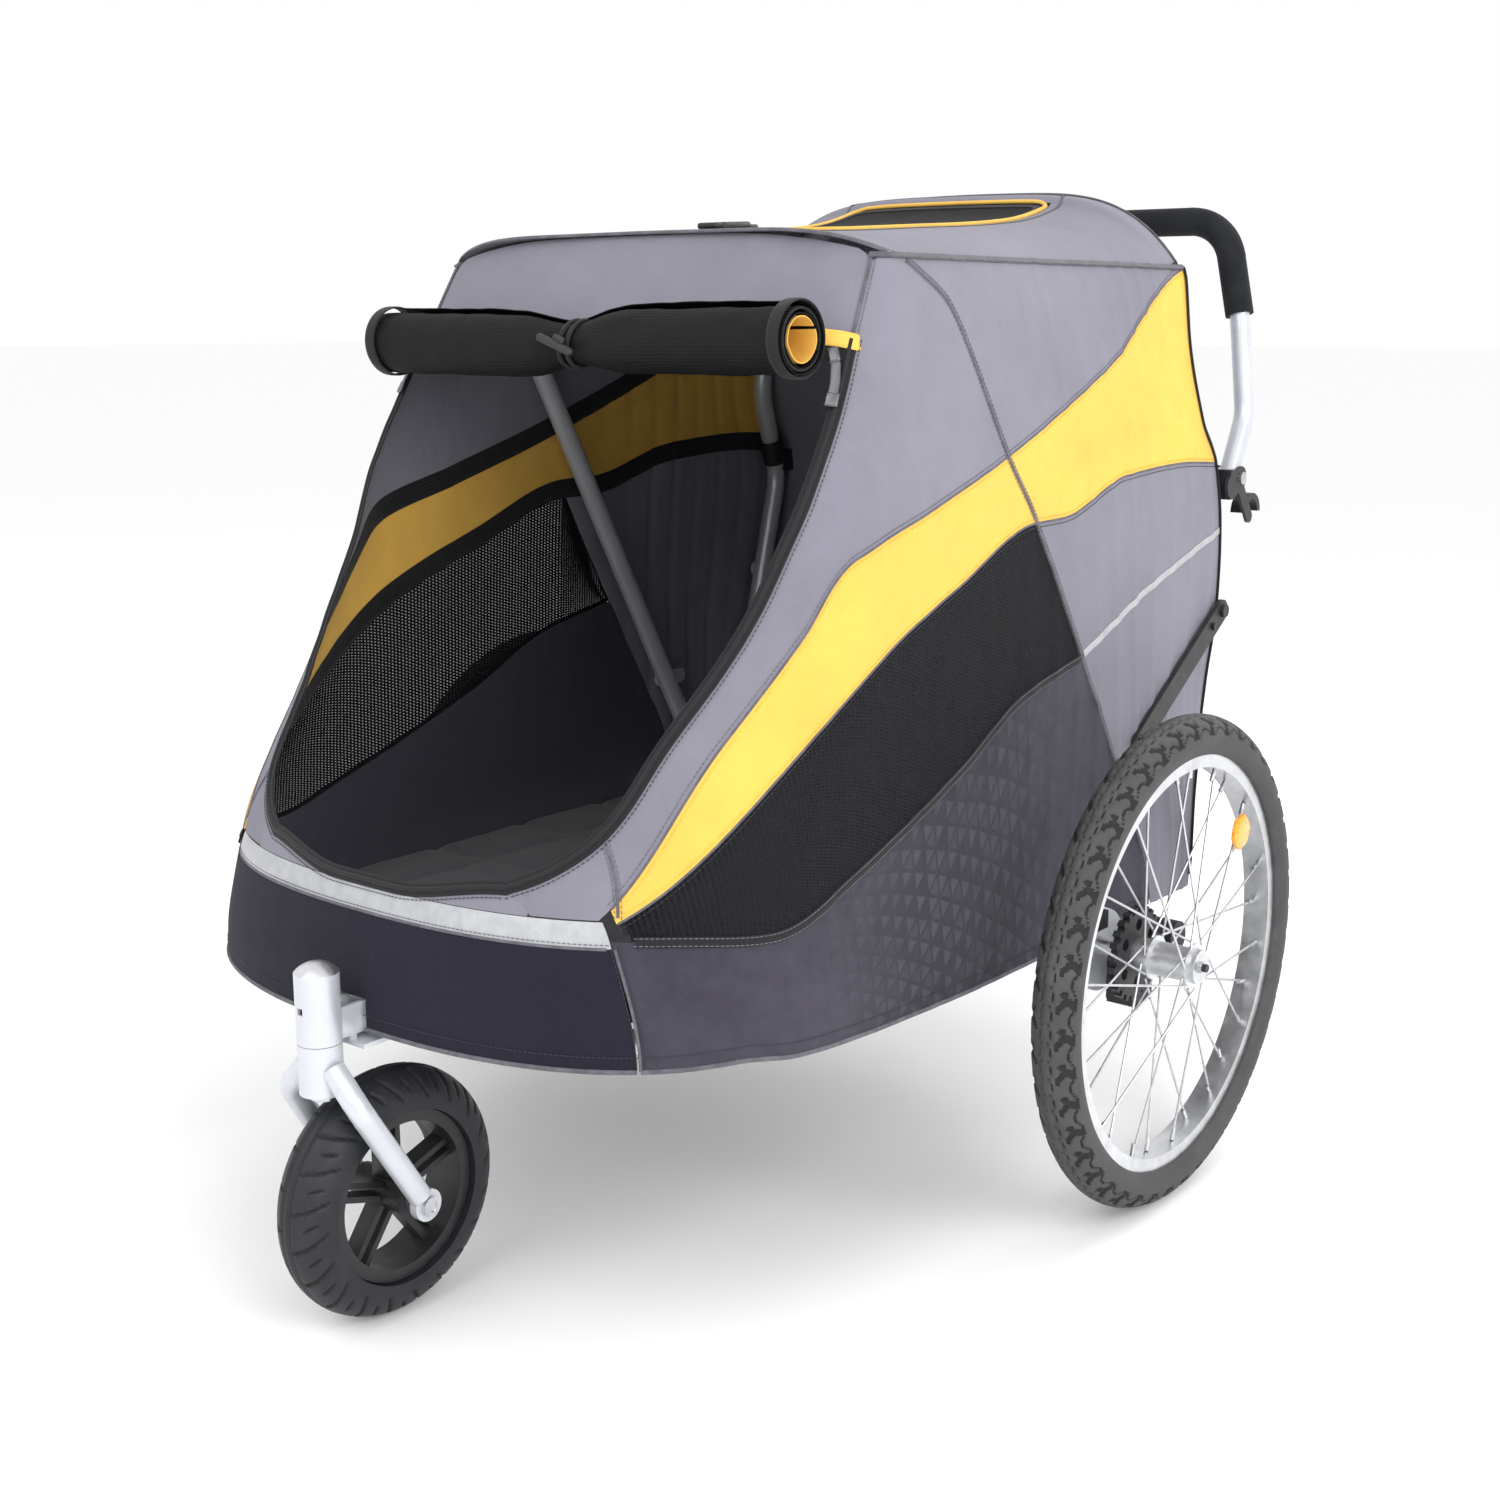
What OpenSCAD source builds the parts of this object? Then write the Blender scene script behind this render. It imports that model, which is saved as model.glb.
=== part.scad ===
// Pet trailer and jogging stroller: folding tube frame, fabric cabin, two spoked
// rear wheels, a swivelling front caster and a push handle.
// Frame: Z up, front towards -Y, +X is the vehicle's left, origin on the ground
// under the middle of the bounding box.

/* [Rear wheels] */
// Outer diameter of a rear tyre
rear_tyre_d = 490; // [400:5:590]
// Width of a rear tyre's section
rear_tyre_w = 45; // [36:1:54]
// Height of a rear rim's side wall, tyre edge to inner edge
rim_depth = 16; // [13:1:20]
// Spokes in each rear wheel, a multiple of four
spoke_count = 28; // [20:4:36]
// Diameter of a spoke
spoke_d = 2.4; // [1.8:0.1:3]
// Diameter of a stub axle
axle_d = 12; // [10:0.5:14]
// From the cabin's side to the middle of a rear wheel
wheel_offset = 99; // [90:1:120]

/* [Front wheel] */
// Outer diameter of the front tyre
front_tyre_d = 225; // [190:1:230]
// Width of the front tyre
front_tyre_w = 58; // [48:1:62]
// How far the caster's axle trails its swivel axis
trail = 66; // [55:1:72]
// Diameter of the fork blades
blade_d = 21; // [17:1:24]

/* [Frame] */
// From the rear axle forward to the swivel axis
wheelbase = 705; // [600:5:850]
// Height of the base rail above the rear axle, centre to centre
rail_rise = 33; // [28:1:40]
// Diameter of the frame's tubes
tube_d = 22; // [18:0.5:25]
// Wall of the frame's tubes
tube_wall = 1.5; // [1:0.1:3]
// Diameter of the head tube
head_d = 38; // [34:1:46]
// Length of the head tube
head_l = 61; // [50:1:75]

/* [Cabin] */
// Width of the cabin at its hem
cabin_w = 656; // [560:4:800]
// From the base rail up to the rear bow's crossbar
cabin_h = 697; // [600:5:840]
// Thickness of the cover's cloth with its lining
cloth = 2; // [1.5:0.1:3]
// Half width of the roof's mesh window
roof_mesh_half_w = 130; // [90:5:160]

/* [Handle] */
// Outer diameter of the foam grip
grip_d = 31; // [28:1:38]
// Height of the handle's crossbar above its pivot
handle_rise = 278; // [230:2:340]

/* [Fits] */
// Radial clearance where one round part turns on another
running_fit = 0.05; // [0.02:0.01:0.1]
// Gap kept between pieces that only lie close
seat_gap = 0.3; // [0.2:0.05:0.5]

/* [Hidden] */
$fn = 64;

axle_z = rear_tyre_d / 2;
rail_z = axle_z + rail_rise;
half_w = cabin_w / 2;
wheel_x = half_w + wheel_offset;
rail_x = half_w - 23;
tube_r = tube_d / 2;

// ---- Cabin outline -------------------------------------------------------
// Heights are measured from the base rail's centre and scale with cabin_h.
// Places along the side are fractions of the cabin's length, from nose to rear.
hs = cabin_h / 697;
head_gap = 34;
nose_y = -(wheelbase - head_gap);
cabin_rear_y = 240;
cabin_l = cabin_rear_y - nose_y;
side_inset = [[-3, 0], [122, 8], [322, 16], [522, 34], [622, 54], [657, 68], [722, 100]];
nose_lean = [[-30, 0], [-3, 0], [94, 17], [115, 23], [657, 381], [722, 424]];
corner_depth = [[115, 245], [248, 205], [360, 167], [440, 104], [522, 80], [657, 36]];
rear_bulge = [[-28, -7], [34, -1], [185, 31], [238, 47], [275, 58], [368, 67],
              [431, 59], [477, 33], [551, 16], [631, 26], [722, 26]];
hem_rise = [[0.149, -3], [0.218, -12], [0.38, -23], [0.563, -28], [1.1, -28]];
window_edge = [[0.041, 127], [0.068, 147], [0.1055, 179], [0.168, 248], [0.2625, 360],
               [0.309, 440], [0.352, 507], [0.382, 558], [0.428, 634]];
window_top = [0.382, 558];
window_end = [0.428, 634];
yellow_top = [[0.078, 116], [0.181, 230], [0.276, 325], [0.337, 387], [0.456, 420],
              [0.596, 459], [0.799, 529], [1.02, 623], [1.066, 634]];
yellow_low = [[0.078, 108], [0.36, 300], [0.5, 351], [0.644, 395], [0.699, 396],
              [0.845, 428], [0.979, 434], [1.066, 430]];
mesh_low = [[0.078, 100], [0.114, 99], [0.198, 92], [0.305, 119], [0.495, 183],
            [0.61, 232], [0.7355, 257]];
side_top = 634;
band_low = 94;
band_top = 115;
seam_foot = 0.905;
seam_slope = 1520;
warp_from = 0.845;
side_end = 1.066;
seam_from = 0.079;
roof_crown = [[-0.1, 659], [0.42, 659], [0.737, 672], [0.88, 682], [0.987, 704],
              [1.0, 722], [1.1, 722]];
roof_edge = 637;

function along(f) = nose_y + f * cabin_l;
function part_of(y) = (y - nose_y) / cabin_l;
function half_at(h) = half_w - lookup(h / hs, side_inset);
function front_at(h) = nose_y + lookup(h / hs, nose_lean);
function rear_at(h) = cabin_rear_y + lookup(h / hs, rear_bulge);
function depth_at(h) = lookup(h / hs, corner_depth);
function seam_h(f) = (seam_foot - f) * seam_slope;
function side_x(y, h) =
    let (c = max(0, min(1, 1 - (y - front_at(h)) / depth_at(h))))
    half_at(h) * pow(1 - pow(c, 2.5), 0.4);
function front_y(x, h) =
    let (t = min(1, abs(x) / half_at(h)))
    front_at(h) + depth_at(h) * (1 - pow(1 - pow(t, 2.5), 0.4));
function side_y(f, h) =
    f <= warp_from ? along(f)
    : along(warp_from) + (f - warp_from) / (side_end - warp_from) * (rear_at(h) - along(warp_from));
function side_point(f, h, deep) =
    let (y = side_y(f, h),
         slope = min(60, side_x(y + 0.5, h) - side_x(y - 0.5, h)),
         k = 1 / sqrt(1 + slope * slope))
    [side_x(y, h) - deep * k, y + deep * slope * k, h];
function front_point(x, h, deep) =
    let (slope = front_y(x + 0.5, h) - front_y(x - 0.5, h),
         k = 1 / sqrt(1 + slope * slope))
    [x - deep * slope * k, front_y(x, h) + deep * k, h];
function roof_h(x, y) =
    let (f = part_of(y), crown = lookup(f, roof_crown), p = f < 0.7 ? 6 : 6 - 1.5 * min(1, (f - 0.7) / 0.2))
    (crown - (crown - roof_edge) * pow(min(1, abs(x) / (half_at(side_top * hs) - 3)), p)) * hs;

// ---- Frame places --------------------------------------------------------
pivot_h = 30;
front_pivot_y = cabin_rear_y - 85;
rear_pivot_y = cabin_rear_y - 25;
eye_r = 13;
pin_r = 4;
inset = tube_r + cloth + 2 * seat_gap + 0.4;
front_bar_h = 641 * hs;
front_bar_y = front_at(front_bar_h) + inset + 13;
front_hoop_path = [
    [rail_x, front_pivot_y, pivot_h],
    [half_at(562 * hs) - inset - 1, front_bar_y + 103, 562 * hs],
    [half_at(front_bar_h) - inset - 10, front_bar_y, front_bar_h - 4]
];
rear_bar_y = rear_at(cabin_h) - inset - 4;
rear_hoop_path = [
    [rail_x, rear_pivot_y, pivot_h],
    [half_at(387 * hs) - inset - 2, rear_at(387 * hs) - inset - 2, 387 * hs],
    [half_at(500 * hs) - inset - 3, rear_at(500 * hs) - inset - 13, 500 * hs],
    [half_at(622 * hs) - inset - 18, rear_bar_y, cabin_h - 5]
];
front_bends = [0, 60, 50];
rear_bends = [0, 60, 120, 115];
rail_front_y = nose_y + 21;
rail_path = [[rail_x, cabin_rear_y - 14, 0], [rail_x, nose_y + 221, 0], [150, rail_front_y, 0]];
rail_bends = [0, 120, 120];
cross_r = tube_r - 1;
board_h = cross_r + seat_gap;
board_t = 4;
mat_t = 22;
plate_x = half_w + 17;
plate_t = 4;

// Handle
handle_pivot = [303 / 328 * half_w, rear_at(412 * hs) + 36, 412 * hs];
handle_path = [
    handle_pivot,
    [handle_pivot[0] - 4, handle_pivot[1] + 43, handle_pivot[2] + 66],
    [handle_pivot[0] - 20, handle_pivot[1] + 53, handle_pivot[2] + 170],
    [handle_pivot[0] - 50, handle_pivot[1] + 68, handle_pivot[2] + handle_rise]
];
handle_bends = [0, 60, 200, 55];
clamp_share = [0.17, 0.42];

// Side braces
brace_t = 5;
brace_w = 24;
brace_x = half_w - 7;
brace_low = [front_pivot_y - 41, 153];
brace_high = [rear_at(271 * hs) - 4, 271 * hs];
stud_r = 5;

// Hub, from the wheel's middle plane, outboard positive
hub_out = 32;
hub_in = -44;
hub_r = 17;
flange_r = 22;
flange_t = 3;
flange_out = 25;
flange_in = -19;
bearing_r = 14;
bearing_t = 8;
disc_in = -44;
disc_t = 8;
disc_root_r = 43;
disc_tip_r = 48;
disc_teeth = 24;
button_r = 4;
button_l = 20;
button_out = 4;

// Caster
front_wheel_z = front_tyre_d / 2;
front_wheel_y = -(wheelbase - trail);
front_rim_r = front_tyre_d / 2 - 35;
front_axle_r = 5;
blade_x = front_tyre_w / 2 + blade_d / 2 + 10;
head_low = rail_z - 8;
steerer_r = 12;
crown_h = 45;
head_wall = 3;

silver = [0.72, 0.73, 0.76];
steel = [0.6, 0.6, 0.62];
black = [0.09, 0.09, 0.1];
tyre_grey = [0.22, 0.22, 0.24];
grey_cloth = [0.47, 0.46, 0.49];
charcoal = [0.23, 0.22, 0.27];
navy = [0.18, 0.17, 0.23];
yellow = [1, 0.87, 0.35];
mesh_black = [0.12, 0.12, 0.13];

// ---- Helpers -------------------------------------------------------------
function unit(v) = v / norm(v);
function side_axis(d) = abs(d[2]) < 0.9 ? unit(cross([0, 0, 1], d)) : unit(cross([1, 0, 0], d));
function mirrored(path) = [for (i = [len(path) - 1:-1:0]) [-path[i][0], path[i][1], path[i][2]]];
function doubled(list) = concat(list, [for (i = [len(list) - 1:-1:0]) list[i]]);
function mix(a, b, t) = a + (b - a) * t;
function bend_reach(path, bends, i) =
    i == 0 || i == len(path) - 1 ? 0
    : let (a = unit(path[i] - path[i - 1]), b = unit(path[i + 1] - path[i]))
      bends[i] * tan(acos(a * b) / 2);

module place(x_axis, y_axis, z_axis, at) {
    multmatrix([
        [x_axis[0], y_axis[0], z_axis[0], at[0]],
        [x_axis[1], y_axis[1], z_axis[1], at[1]],
        [x_axis[2], y_axis[2], z_axis[2], at[2]],
        [0, 0, 0, 1]
    ]) children();
}

module pointed(from, to) {
    d = unit(to - from);
    x = side_axis(d);
    place(x, cross(d, x), d, from) children();
}

module rod(from, to, r) {
    pointed(from, to) cylinder(h = norm(to - from), r = r);
}

module ring_2d(r, bore) {
    difference() {
        circle(r);
        if (bore > 0) circle(bore);
    }
}

// A tube bent through the points of a path, each corner with its own radius.
// A thin sleeve, a tenth of a millimetre proud, joins each bend to its straights.
module bent_tube(path, bends, r, bore) {
    lip = 0.12;
    trim = 0.4;
    reach = 1.4;
    inner = bore > 0 ? bore - lip : 0;
    last = len(path) - 1;
    for (i = [0:last - 1]) {
        d = unit(path[i + 1] - path[i]);
        start = path[i] + d * (bend_reach(path, bends, i) + (i > 0 ? trim : 0));
        end = path[i + 1] - d * (bend_reach(path, bends, i + 1) + (i + 1 < last ? trim : 0));
        pointed(start, end) linear_extrude(norm(end - start)) ring_2d(r, bore);
    }
    for (i = [1:last - 1]) {
        a = unit(path[i] - path[i - 1]);
        b = unit(path[i + 1] - path[i]);
        turn = acos(a * b);
        spare = trim / bends[i] * 180 / PI;
        n = unit(b - a * (a * b));
        into = path[i] - a * bend_reach(path, bends, i);
        out = path[i] + b * bend_reach(path, bends, i);
        place(-n, a, cross(a, n), into + n * bends[i])
            rotate([0, 0, spare]) rotate_extrude(angle = turn - 2 * spare)
                translate([bends[i], 0]) ring_2d(r, bore);
        for (end = [[into, a], [out, b]])
            pointed(end[0] - end[1] * reach, end[0] + end[1] * reach)
                linear_extrude(2 * reach) ring_2d(r + lip, inner);
    }
}

module x_rod(x0, x1, r) {
    translate([min(x0, x1), 0, 0]) rotate([0, 90, 0]) cylinder(h = abs(x1 - x0), r = r);
}

module x_turned(x0, x1, r, bore) {
    translate([min(x0, x1), 0, 0]) rotate([0, 90, 0])
        linear_extrude(abs(x1 - x0)) ring_2d(r, bore);
}

module box(low, high) {
    translate(low) cube(high - low);
}

module both_sides() {
    children();
    mirror([1, 0, 0]) children();
}

module on_rail() {
    translate([0, 0, rail_z]) children();
}

// A flat link in the plane across X, round at both ends
module flat_link(a, b, r, x0, x1) {
    translate([x0, 0, 0]) rotate([90, 0, 90]) linear_extrude(x1 - x0) union() {
        translate(a) circle(r);
        translate(b) circle(r);
        d = unit(b - a);
        n = [-d[1], d[0]] * r;
        polygon([a + n, a - n, b - n, b + n]);
    }
}

// A closed sheet between two grids of points, rows by cols in each
module sheet(outer, inner, rows, cols) {
    n = rows * cols;
    cells = [for (i = [0:rows - 2], j = [0:cols - 2]) i * cols + j];
    top = [for (a = cells) each [[a, a + 1, a + cols + 1], [a, a + cols + 1, a + cols]]];
    under = [for (a = cells) each
        [[n + a, n + a + cols + 1, n + a + 1], [n + a, n + a + cols, n + a + cols + 1]]];
    rim = concat(
        [for (j = [0:cols - 2]) j],
        [for (i = [0:rows - 2]) i * cols + cols - 1],
        [for (j = [cols - 1:-1:1]) (rows - 1) * cols + j],
        [for (i = [rows - 1:-1:1]) i * cols]);
    m = len(rim);
    wall = [for (k = [0:m - 1])
        let (a = rim[k], b = rim[(k + 1) % m])
        each [[a, n + a, n + b], [a, n + b, b]]];
    polyhedron(points = concat(outer, inner), faces = concat(top, under, wall));
}

// A piece of the cabin's side between two height curves
module side_sheet(f0, f1, low, high, rows, cols) {
    spots = [for (i = [0:rows - 1], j = [0:cols - 1])
        let (f = mix(f0, f1, i / (rows - 1)))
        [f, mix(low(f) + seat_gap, high(f) - seat_gap, j / (cols - 1))]];
    sheet([for (s = spots) side_point(s[0], s[1], 0)],
          [for (s = spots) side_point(s[0], s[1], cloth)], rows, cols);
}

// A piece of the cabin's front between two heights
module front_sheet(half, low, high, rows, cols) {
    spots = [for (i = [0:rows - 1], j = [0:cols - 1])
        let (h = mix(low, high, j / (cols - 1)))
        [mix(-half(h), half(h), i / (rows - 1)), h]];
    sheet([for (s = spots) front_point(s[0], s[1], 0)],
          [for (s = spots) front_point(s[0], s[1], cloth)], rows, cols);
}

// ---- Rear wheel, left one; the right one is its mirror image ----------------
module at_wheel() {
    translate([wheel_x, 0, axle_z]) children();
}

rim_r = rear_tyre_d / 2 - rear_tyre_w / 2 - 12.5;
rim_inner_r = rim_r - rim_depth;
rim_half_w = rear_tyre_w * 0.3;
bead_depth = 5;

module rear_tyre() {
    section_r = rear_tyre_w / 2;
    color(tyre_grey) at_wheel() rotate([0, 90, 0]) rotate_extrude() difference() {
        union() {
            translate([rear_tyre_d / 2 - section_r, 0]) circle(section_r);
            translate([rim_r, -rim_half_w - 2]) square([section_r - 8, 2 * rim_half_w + 4]);
        }
        translate([rear_tyre_d / 2 - section_r, 0]) circle(section_r - 4);
        translate([0, -rear_tyre_w]) square([rim_r + 0.05, 2 * rear_tyre_w]);
    }
}

module rear_rim() {
    color(silver) at_wheel() rotate([0, 90, 0]) rotate_extrude() difference() {
        translate([rim_inner_r, -rim_half_w]) square([rim_depth, 2 * rim_half_w]);
        translate([rim_inner_r + 2, -rim_half_w + 2])
            square([rim_depth - 2 - bead_depth, 2 * rim_half_w - 4]);
        translate([rim_r - bead_depth + 1.5, -rim_half_w + 2])
            square([bead_depth, 2 * rim_half_w - 4]);
    }
}

module spokes() {
    lean = 52;
    pitch = 360 / spoke_count;
    color(silver) at_wheel() for (k = [0:spoke_count - 1]) {
        outer = k % 2 == 1;
        trailing = k % 4 < 2 ? 1 : -1;
        rim_a = (k + 0.35) * pitch;
        hub_a = rim_a + trailing * lean;
        hub_x = (outer ? flange_out : flange_in) + trailing * (spoke_d / 2 + 0.1);
        start_r = flange_r + spoke_d / 2 + 0.1;
        end_r = rim_inner_r - 0.7;
        rod([hub_x, start_r * cos(hub_a), start_r * sin(hub_a)],
            [outer ? 3 : -3, end_r * cos(rim_a), end_r * sin(rim_a)], spoke_d / 2);
        // Nipple at the rim
        rod([outer ? 3.4 : -3.4, (end_r - 12) * cos(rim_a + trailing), (end_r - 12) * sin(rim_a + trailing)],
            [outer ? 3 : -3, end_r * cos(rim_a), end_r * sin(rim_a)], 2.2);
    }
}

module rear_hub() {
    color(silver) at_wheel() difference() {
        union() {
            x_rod(hub_in, hub_out, hub_r);
            x_rod(flange_out - flange_t, flange_out, flange_r);
            x_rod(flange_in, flange_in + flange_t, flange_r);
        }
        x_rod(hub_in - 1, hub_out + 1, axle_d / 2 + 2);
        x_rod(hub_in - 1, hub_in + bearing_t, bearing_r);
        x_rod(hub_out - bearing_t, hub_out + 1, bearing_r);
    }
}

module hub_bearings() {
    color(steel) at_wheel() {
        x_turned(hub_in, hub_in + bearing_t, bearing_r, axle_d / 2 + running_fit);
        x_turned(hub_out - bearing_t, hub_out, bearing_r, axle_d / 2 + running_fit);
    }
}

module brake_disc() {
    tooth = 6;
    color(black) at_wheel() difference() {
        union() {
            x_rod(disc_in, disc_in + disc_t, disc_root_r);
            for (k = [0:disc_teeth - 1]) rotate([(k + 0.5) * 360 / disc_teeth, 0, 0])
                box([disc_in, -tooth / 2, disc_root_r - 3], [disc_in + disc_t, tooth / 2, disc_tip_r]);
        }
        x_rod(disc_in - 1, disc_in + disc_t + 1, hub_r);
        for (k = [0:5]) rotate([k * 60, 0, 0]) translate([0, 0, 30])
            x_rod(disc_in - 1, disc_in + disc_t + 1, 6);
    }
}

module wheel_reflector() {
    at = [0, 115, 109] * (rim_inner_r / 193.5);
    a = atan2(at[2], at[1]);
    reach = norm(at);
    clear = 3 + (flange_out - 3) * (rim_inner_r - reach + 20) / (rim_inner_r - flange_r) + spoke_d / 2;
    color([1, 0.55, 0.05]) at_wheel() rotate([a, 0, 0]) translate([clear + seat_gap, reach, 0])
        rotate([0, 90, 0]) intersection() {
            cylinder(h = 5, r = 24);
            translate([-15, -19, 0]) cube([30, 38, 5]);
        }
}

module release_button() {
    color(black) at_wheel() x_rod(hub_out + 3 - button_l + 6, hub_out + 3 + button_out, button_r);
}

// ---- Caster --------------------------------------------------------------
module at_front_wheel() {
    translate([0, front_wheel_y, front_wheel_z]) children();
}

module front_tyre() {
    corner = 20;
    color([0.12, 0.13, 0.16]) at_front_wheel() rotate([0, 90, 0]) rotate_extrude() difference() {
        intersection() {
            translate([front_rim_r, -front_tyre_w / 2])
                square([front_tyre_d / 2 - front_rim_r, front_tyre_w]);
            union() {
                translate([front_tyre_d / 2 - front_tyre_w / 2, 0]) circle(front_tyre_w / 2);
                translate([front_rim_r, -front_tyre_w / 2 + 4]) square([corner, front_tyre_w - 8]);
            }
        }
        translate([front_tyre_d / 2 - front_tyre_w / 2, 0]) circle(front_tyre_w / 2 - 5);
    }
}

module front_wheel_core() {
    rim_half = front_tyre_w / 2 - 7;
    hub_half = front_tyre_w / 2 + 3;
    color(black) at_front_wheel() difference() {
        union() {
            x_turned(-rim_half, rim_half, front_rim_r, front_rim_r - 11);
            x_rod(-hub_half, hub_half, 16);
            for (k = [0:4], y = [-9, 3.5]) rotate([k * 72, 0, 0])
                box([-9, y, 13], [9, y + 5.5, front_rim_r - 8]);
        }
        x_rod(-hub_half - 1, hub_half + 1, front_axle_r + running_fit);
    }
}

module front_axle() {
    color(steel) at_front_wheel() {
        x_rod(-blade_x - 8, blade_x + 8, front_axle_r);
        both_sides() {
            x_turned(blade_x + 4, blade_x + 9, 9, front_axle_r);
            x_turned(front_tyre_w / 2 + 3 + seat_gap, blade_x - 4, 8, front_axle_r);
        }
    }
}

module fork_crown() {
    color(silver) translate([0, -wheelbase, head_low]) difference() {
        union() {
            translate([0, 0, -crown_h]) cylinder(h = crown_h - 0.6, r = head_d / 2);
            translate([0, 0, -1]) cylinder(h = head_l - 5, r = steerer_r);
            translate([0, 0, -crown_h - 7]) cylinder(h = 8, r = 9, $fn = 6);
        }
        translate([0, 0, -crown_h + 6]) cylinder(h = head_l + crown_h, r = steerer_r - 4);
    }
}

module fork_blades() {
    top = [head_d / 2 - 3, -wheelbase, head_low - 22];
    bend = [blade_x - 4, -wheelbase + 2, head_low - 52];
    axle = [blade_x, front_wheel_y, front_wheel_z];
    foot = axle + unit(bend - axle) * (blade_d / 2 + 1.5);
    color(silver) difference() {
        both_sides() union() {
            bent_tube([top, bend, foot], [0, 22, 0], blade_d / 2, 0);
            translate([blade_x, front_wheel_y, front_wheel_z]) x_rod(-4, 4, blade_d / 2 + 4);
        }
        at_front_wheel() x_rod(-90, 90, front_axle_r);
        translate([0, -wheelbase, head_low - crown_h - 1]) cylinder(h = crown_h + 20, r = head_d / 2 + 0.1);
    }
}

// ---- Chassis -------------------------------------------------------------
module base_frame() {
    color(silver) on_rail() union() {
        bent_tube(concat(rail_path, mirrored(rail_path)), doubled(rail_bends), tube_r, tube_r - tube_wall);
        for (y = [cabin_rear_y - 55, -40, along(0.42)])
            translate([0, y, 0]) difference() {
                x_rod(-rail_x + tube_r - 2, rail_x - tube_r + 2, cross_r);
                x_rod(-rail_x, rail_x, cross_r - tube_wall);
            }
        both_sides() translate([rail_x, cabin_rear_y - 14, 0]) rotate([-90, 0, 0]) cylinder(h = 4, r = tube_r);
    }
}

module head_tube() {
    window = 6;
    color(silver) translate([0, -wheelbase, head_low]) difference() {
        cylinder(h = head_l, r = head_d / 2);
        translate([0, 0, -1]) cylinder(h = head_l + 2, r = head_d / 2 - head_wall);
        translate([-window / 2, -head_d, head_l * 0.45]) cube([window, head_d, window]);
    }
}

module head_bearings() {
    color(steel) translate([0, -wheelbase, head_low]) for (h = [0, head_l - 14])
        translate([0, 0, h]) linear_extrude(9) ring_2d(head_d / 2 - head_wall, steerer_r + running_fit);
}

module head_cap() {
    rise = 9;
    dome_r = (pow(head_d / 2, 2) + rise * rise) / (2 * rise);
    color(black) translate([0, -wheelbase, head_low + head_l]) intersection() {
        translate([0, 0, rise - dome_r]) sphere(dome_r);
        cylinder(h = rise + 1, r = head_d / 2);
    }
}

module head_bracket() {
    // Two cheeks and a lower plate that carry the head tube on the front rail
    back = -wheelbase + head_d / 2 + 3;
    color(silver) on_rail() difference() {
        union() {
            for (s = [-1, 1]) box([s * 11 - 2, -wheelbase + 4, -7], [s * 11 + 2, rail_front_y, 20]);
            box([-30, back, -tube_r - 4], [30, rail_front_y + 10, -tube_r - 0.1]);
            box([-13, back, -tube_r - 1], [13, back + 7, -5]);
        }
        translate([0, -wheelbase, -40]) cylinder(h = 100, r = head_d / 2 + 0.1);
        translate([0, rail_front_y, 0]) x_rod(-60, 60, tube_r + 0.1);
    }
}

module axle_tube() {
    color(silver) translate([0, 0, axle_z])
        x_turned(-plate_x + plate_t / 2, plate_x - plate_t / 2, axle_d / 2 + 6, axle_d / 2 + 4);
}

module axle_saddles() {
    color(silver) both_sides() difference() {
        translate([rail_x, 0, 0]) box([-15, -20, axle_z - 6], [15, 20, rail_z - 1]);
        translate([0, 0, axle_z]) x_rod(0, plate_x, axle_d / 2 + 6.1);
        translate([rail_x, -60, rail_z]) rotate([-90, 0, 0]) cylinder(h = 120, r = tube_r + 0.1);
    }
}

module axle_plates() {
    x0 = plate_x - plate_t / 2;
    x1 = plate_x + plate_t / 2;
    color(silver) both_sides() translate([0, 0, axle_z]) difference() {
        union() {
            flat_link([-14, 2], [10, -8], 42, x0, x1);
            flat_link([-60, -26], [40, -30], 8, x0, x1);
            flat_link([-60, -26], [-24, 20], 8, x0, x1);
        }
        x_rod(0, plate_x + 20, axle_d / 2);
    }
}

module wheel_axles() {
    end = wheel_x + hub_out + 3;
    color(steel) both_sides() translate([0, 0, axle_z]) difference() {
        union() {
            x_rod(plate_x - plate_t / 2 - 30, plate_x - plate_t / 2, axle_d / 2 + 4);
            x_rod(plate_x - plate_t / 2 - 1, end, axle_d / 2);
            x_rod(plate_x + plate_t / 2, wheel_x + hub_in - seat_gap, axle_d / 2 + 3);
        }
        x_rod(end - button_l, end + 1, button_r + running_fit);
    }
}

pedal_pivot = [68, -26];

module brake_housings() {
    x0 = plate_x + plate_t / 2;
    x1 = wheel_x + disc_in - 4;
    color(black) both_sides() translate([0, 0, axle_z]) difference() {
        union() {
            box([x0, 20, -62], [x1, 58, -20]);
            for (k = [0:4]) box([x0, 22 + k * 8, -66], [x1, 25 + k * 8, -60]);
            flat_link([58, -24], pedal_pivot, 9, x0, x0 + 5);
            translate([0, pedal_pivot[0], pedal_pivot[1]]) x_rod(x0, x1 - 6, pin_r);
            box([x0, -34, 22], [x0 + 12, -4, 40]);
        }
        x_rod(x0 - 1, x1 + 1, 16);
    }
}

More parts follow.
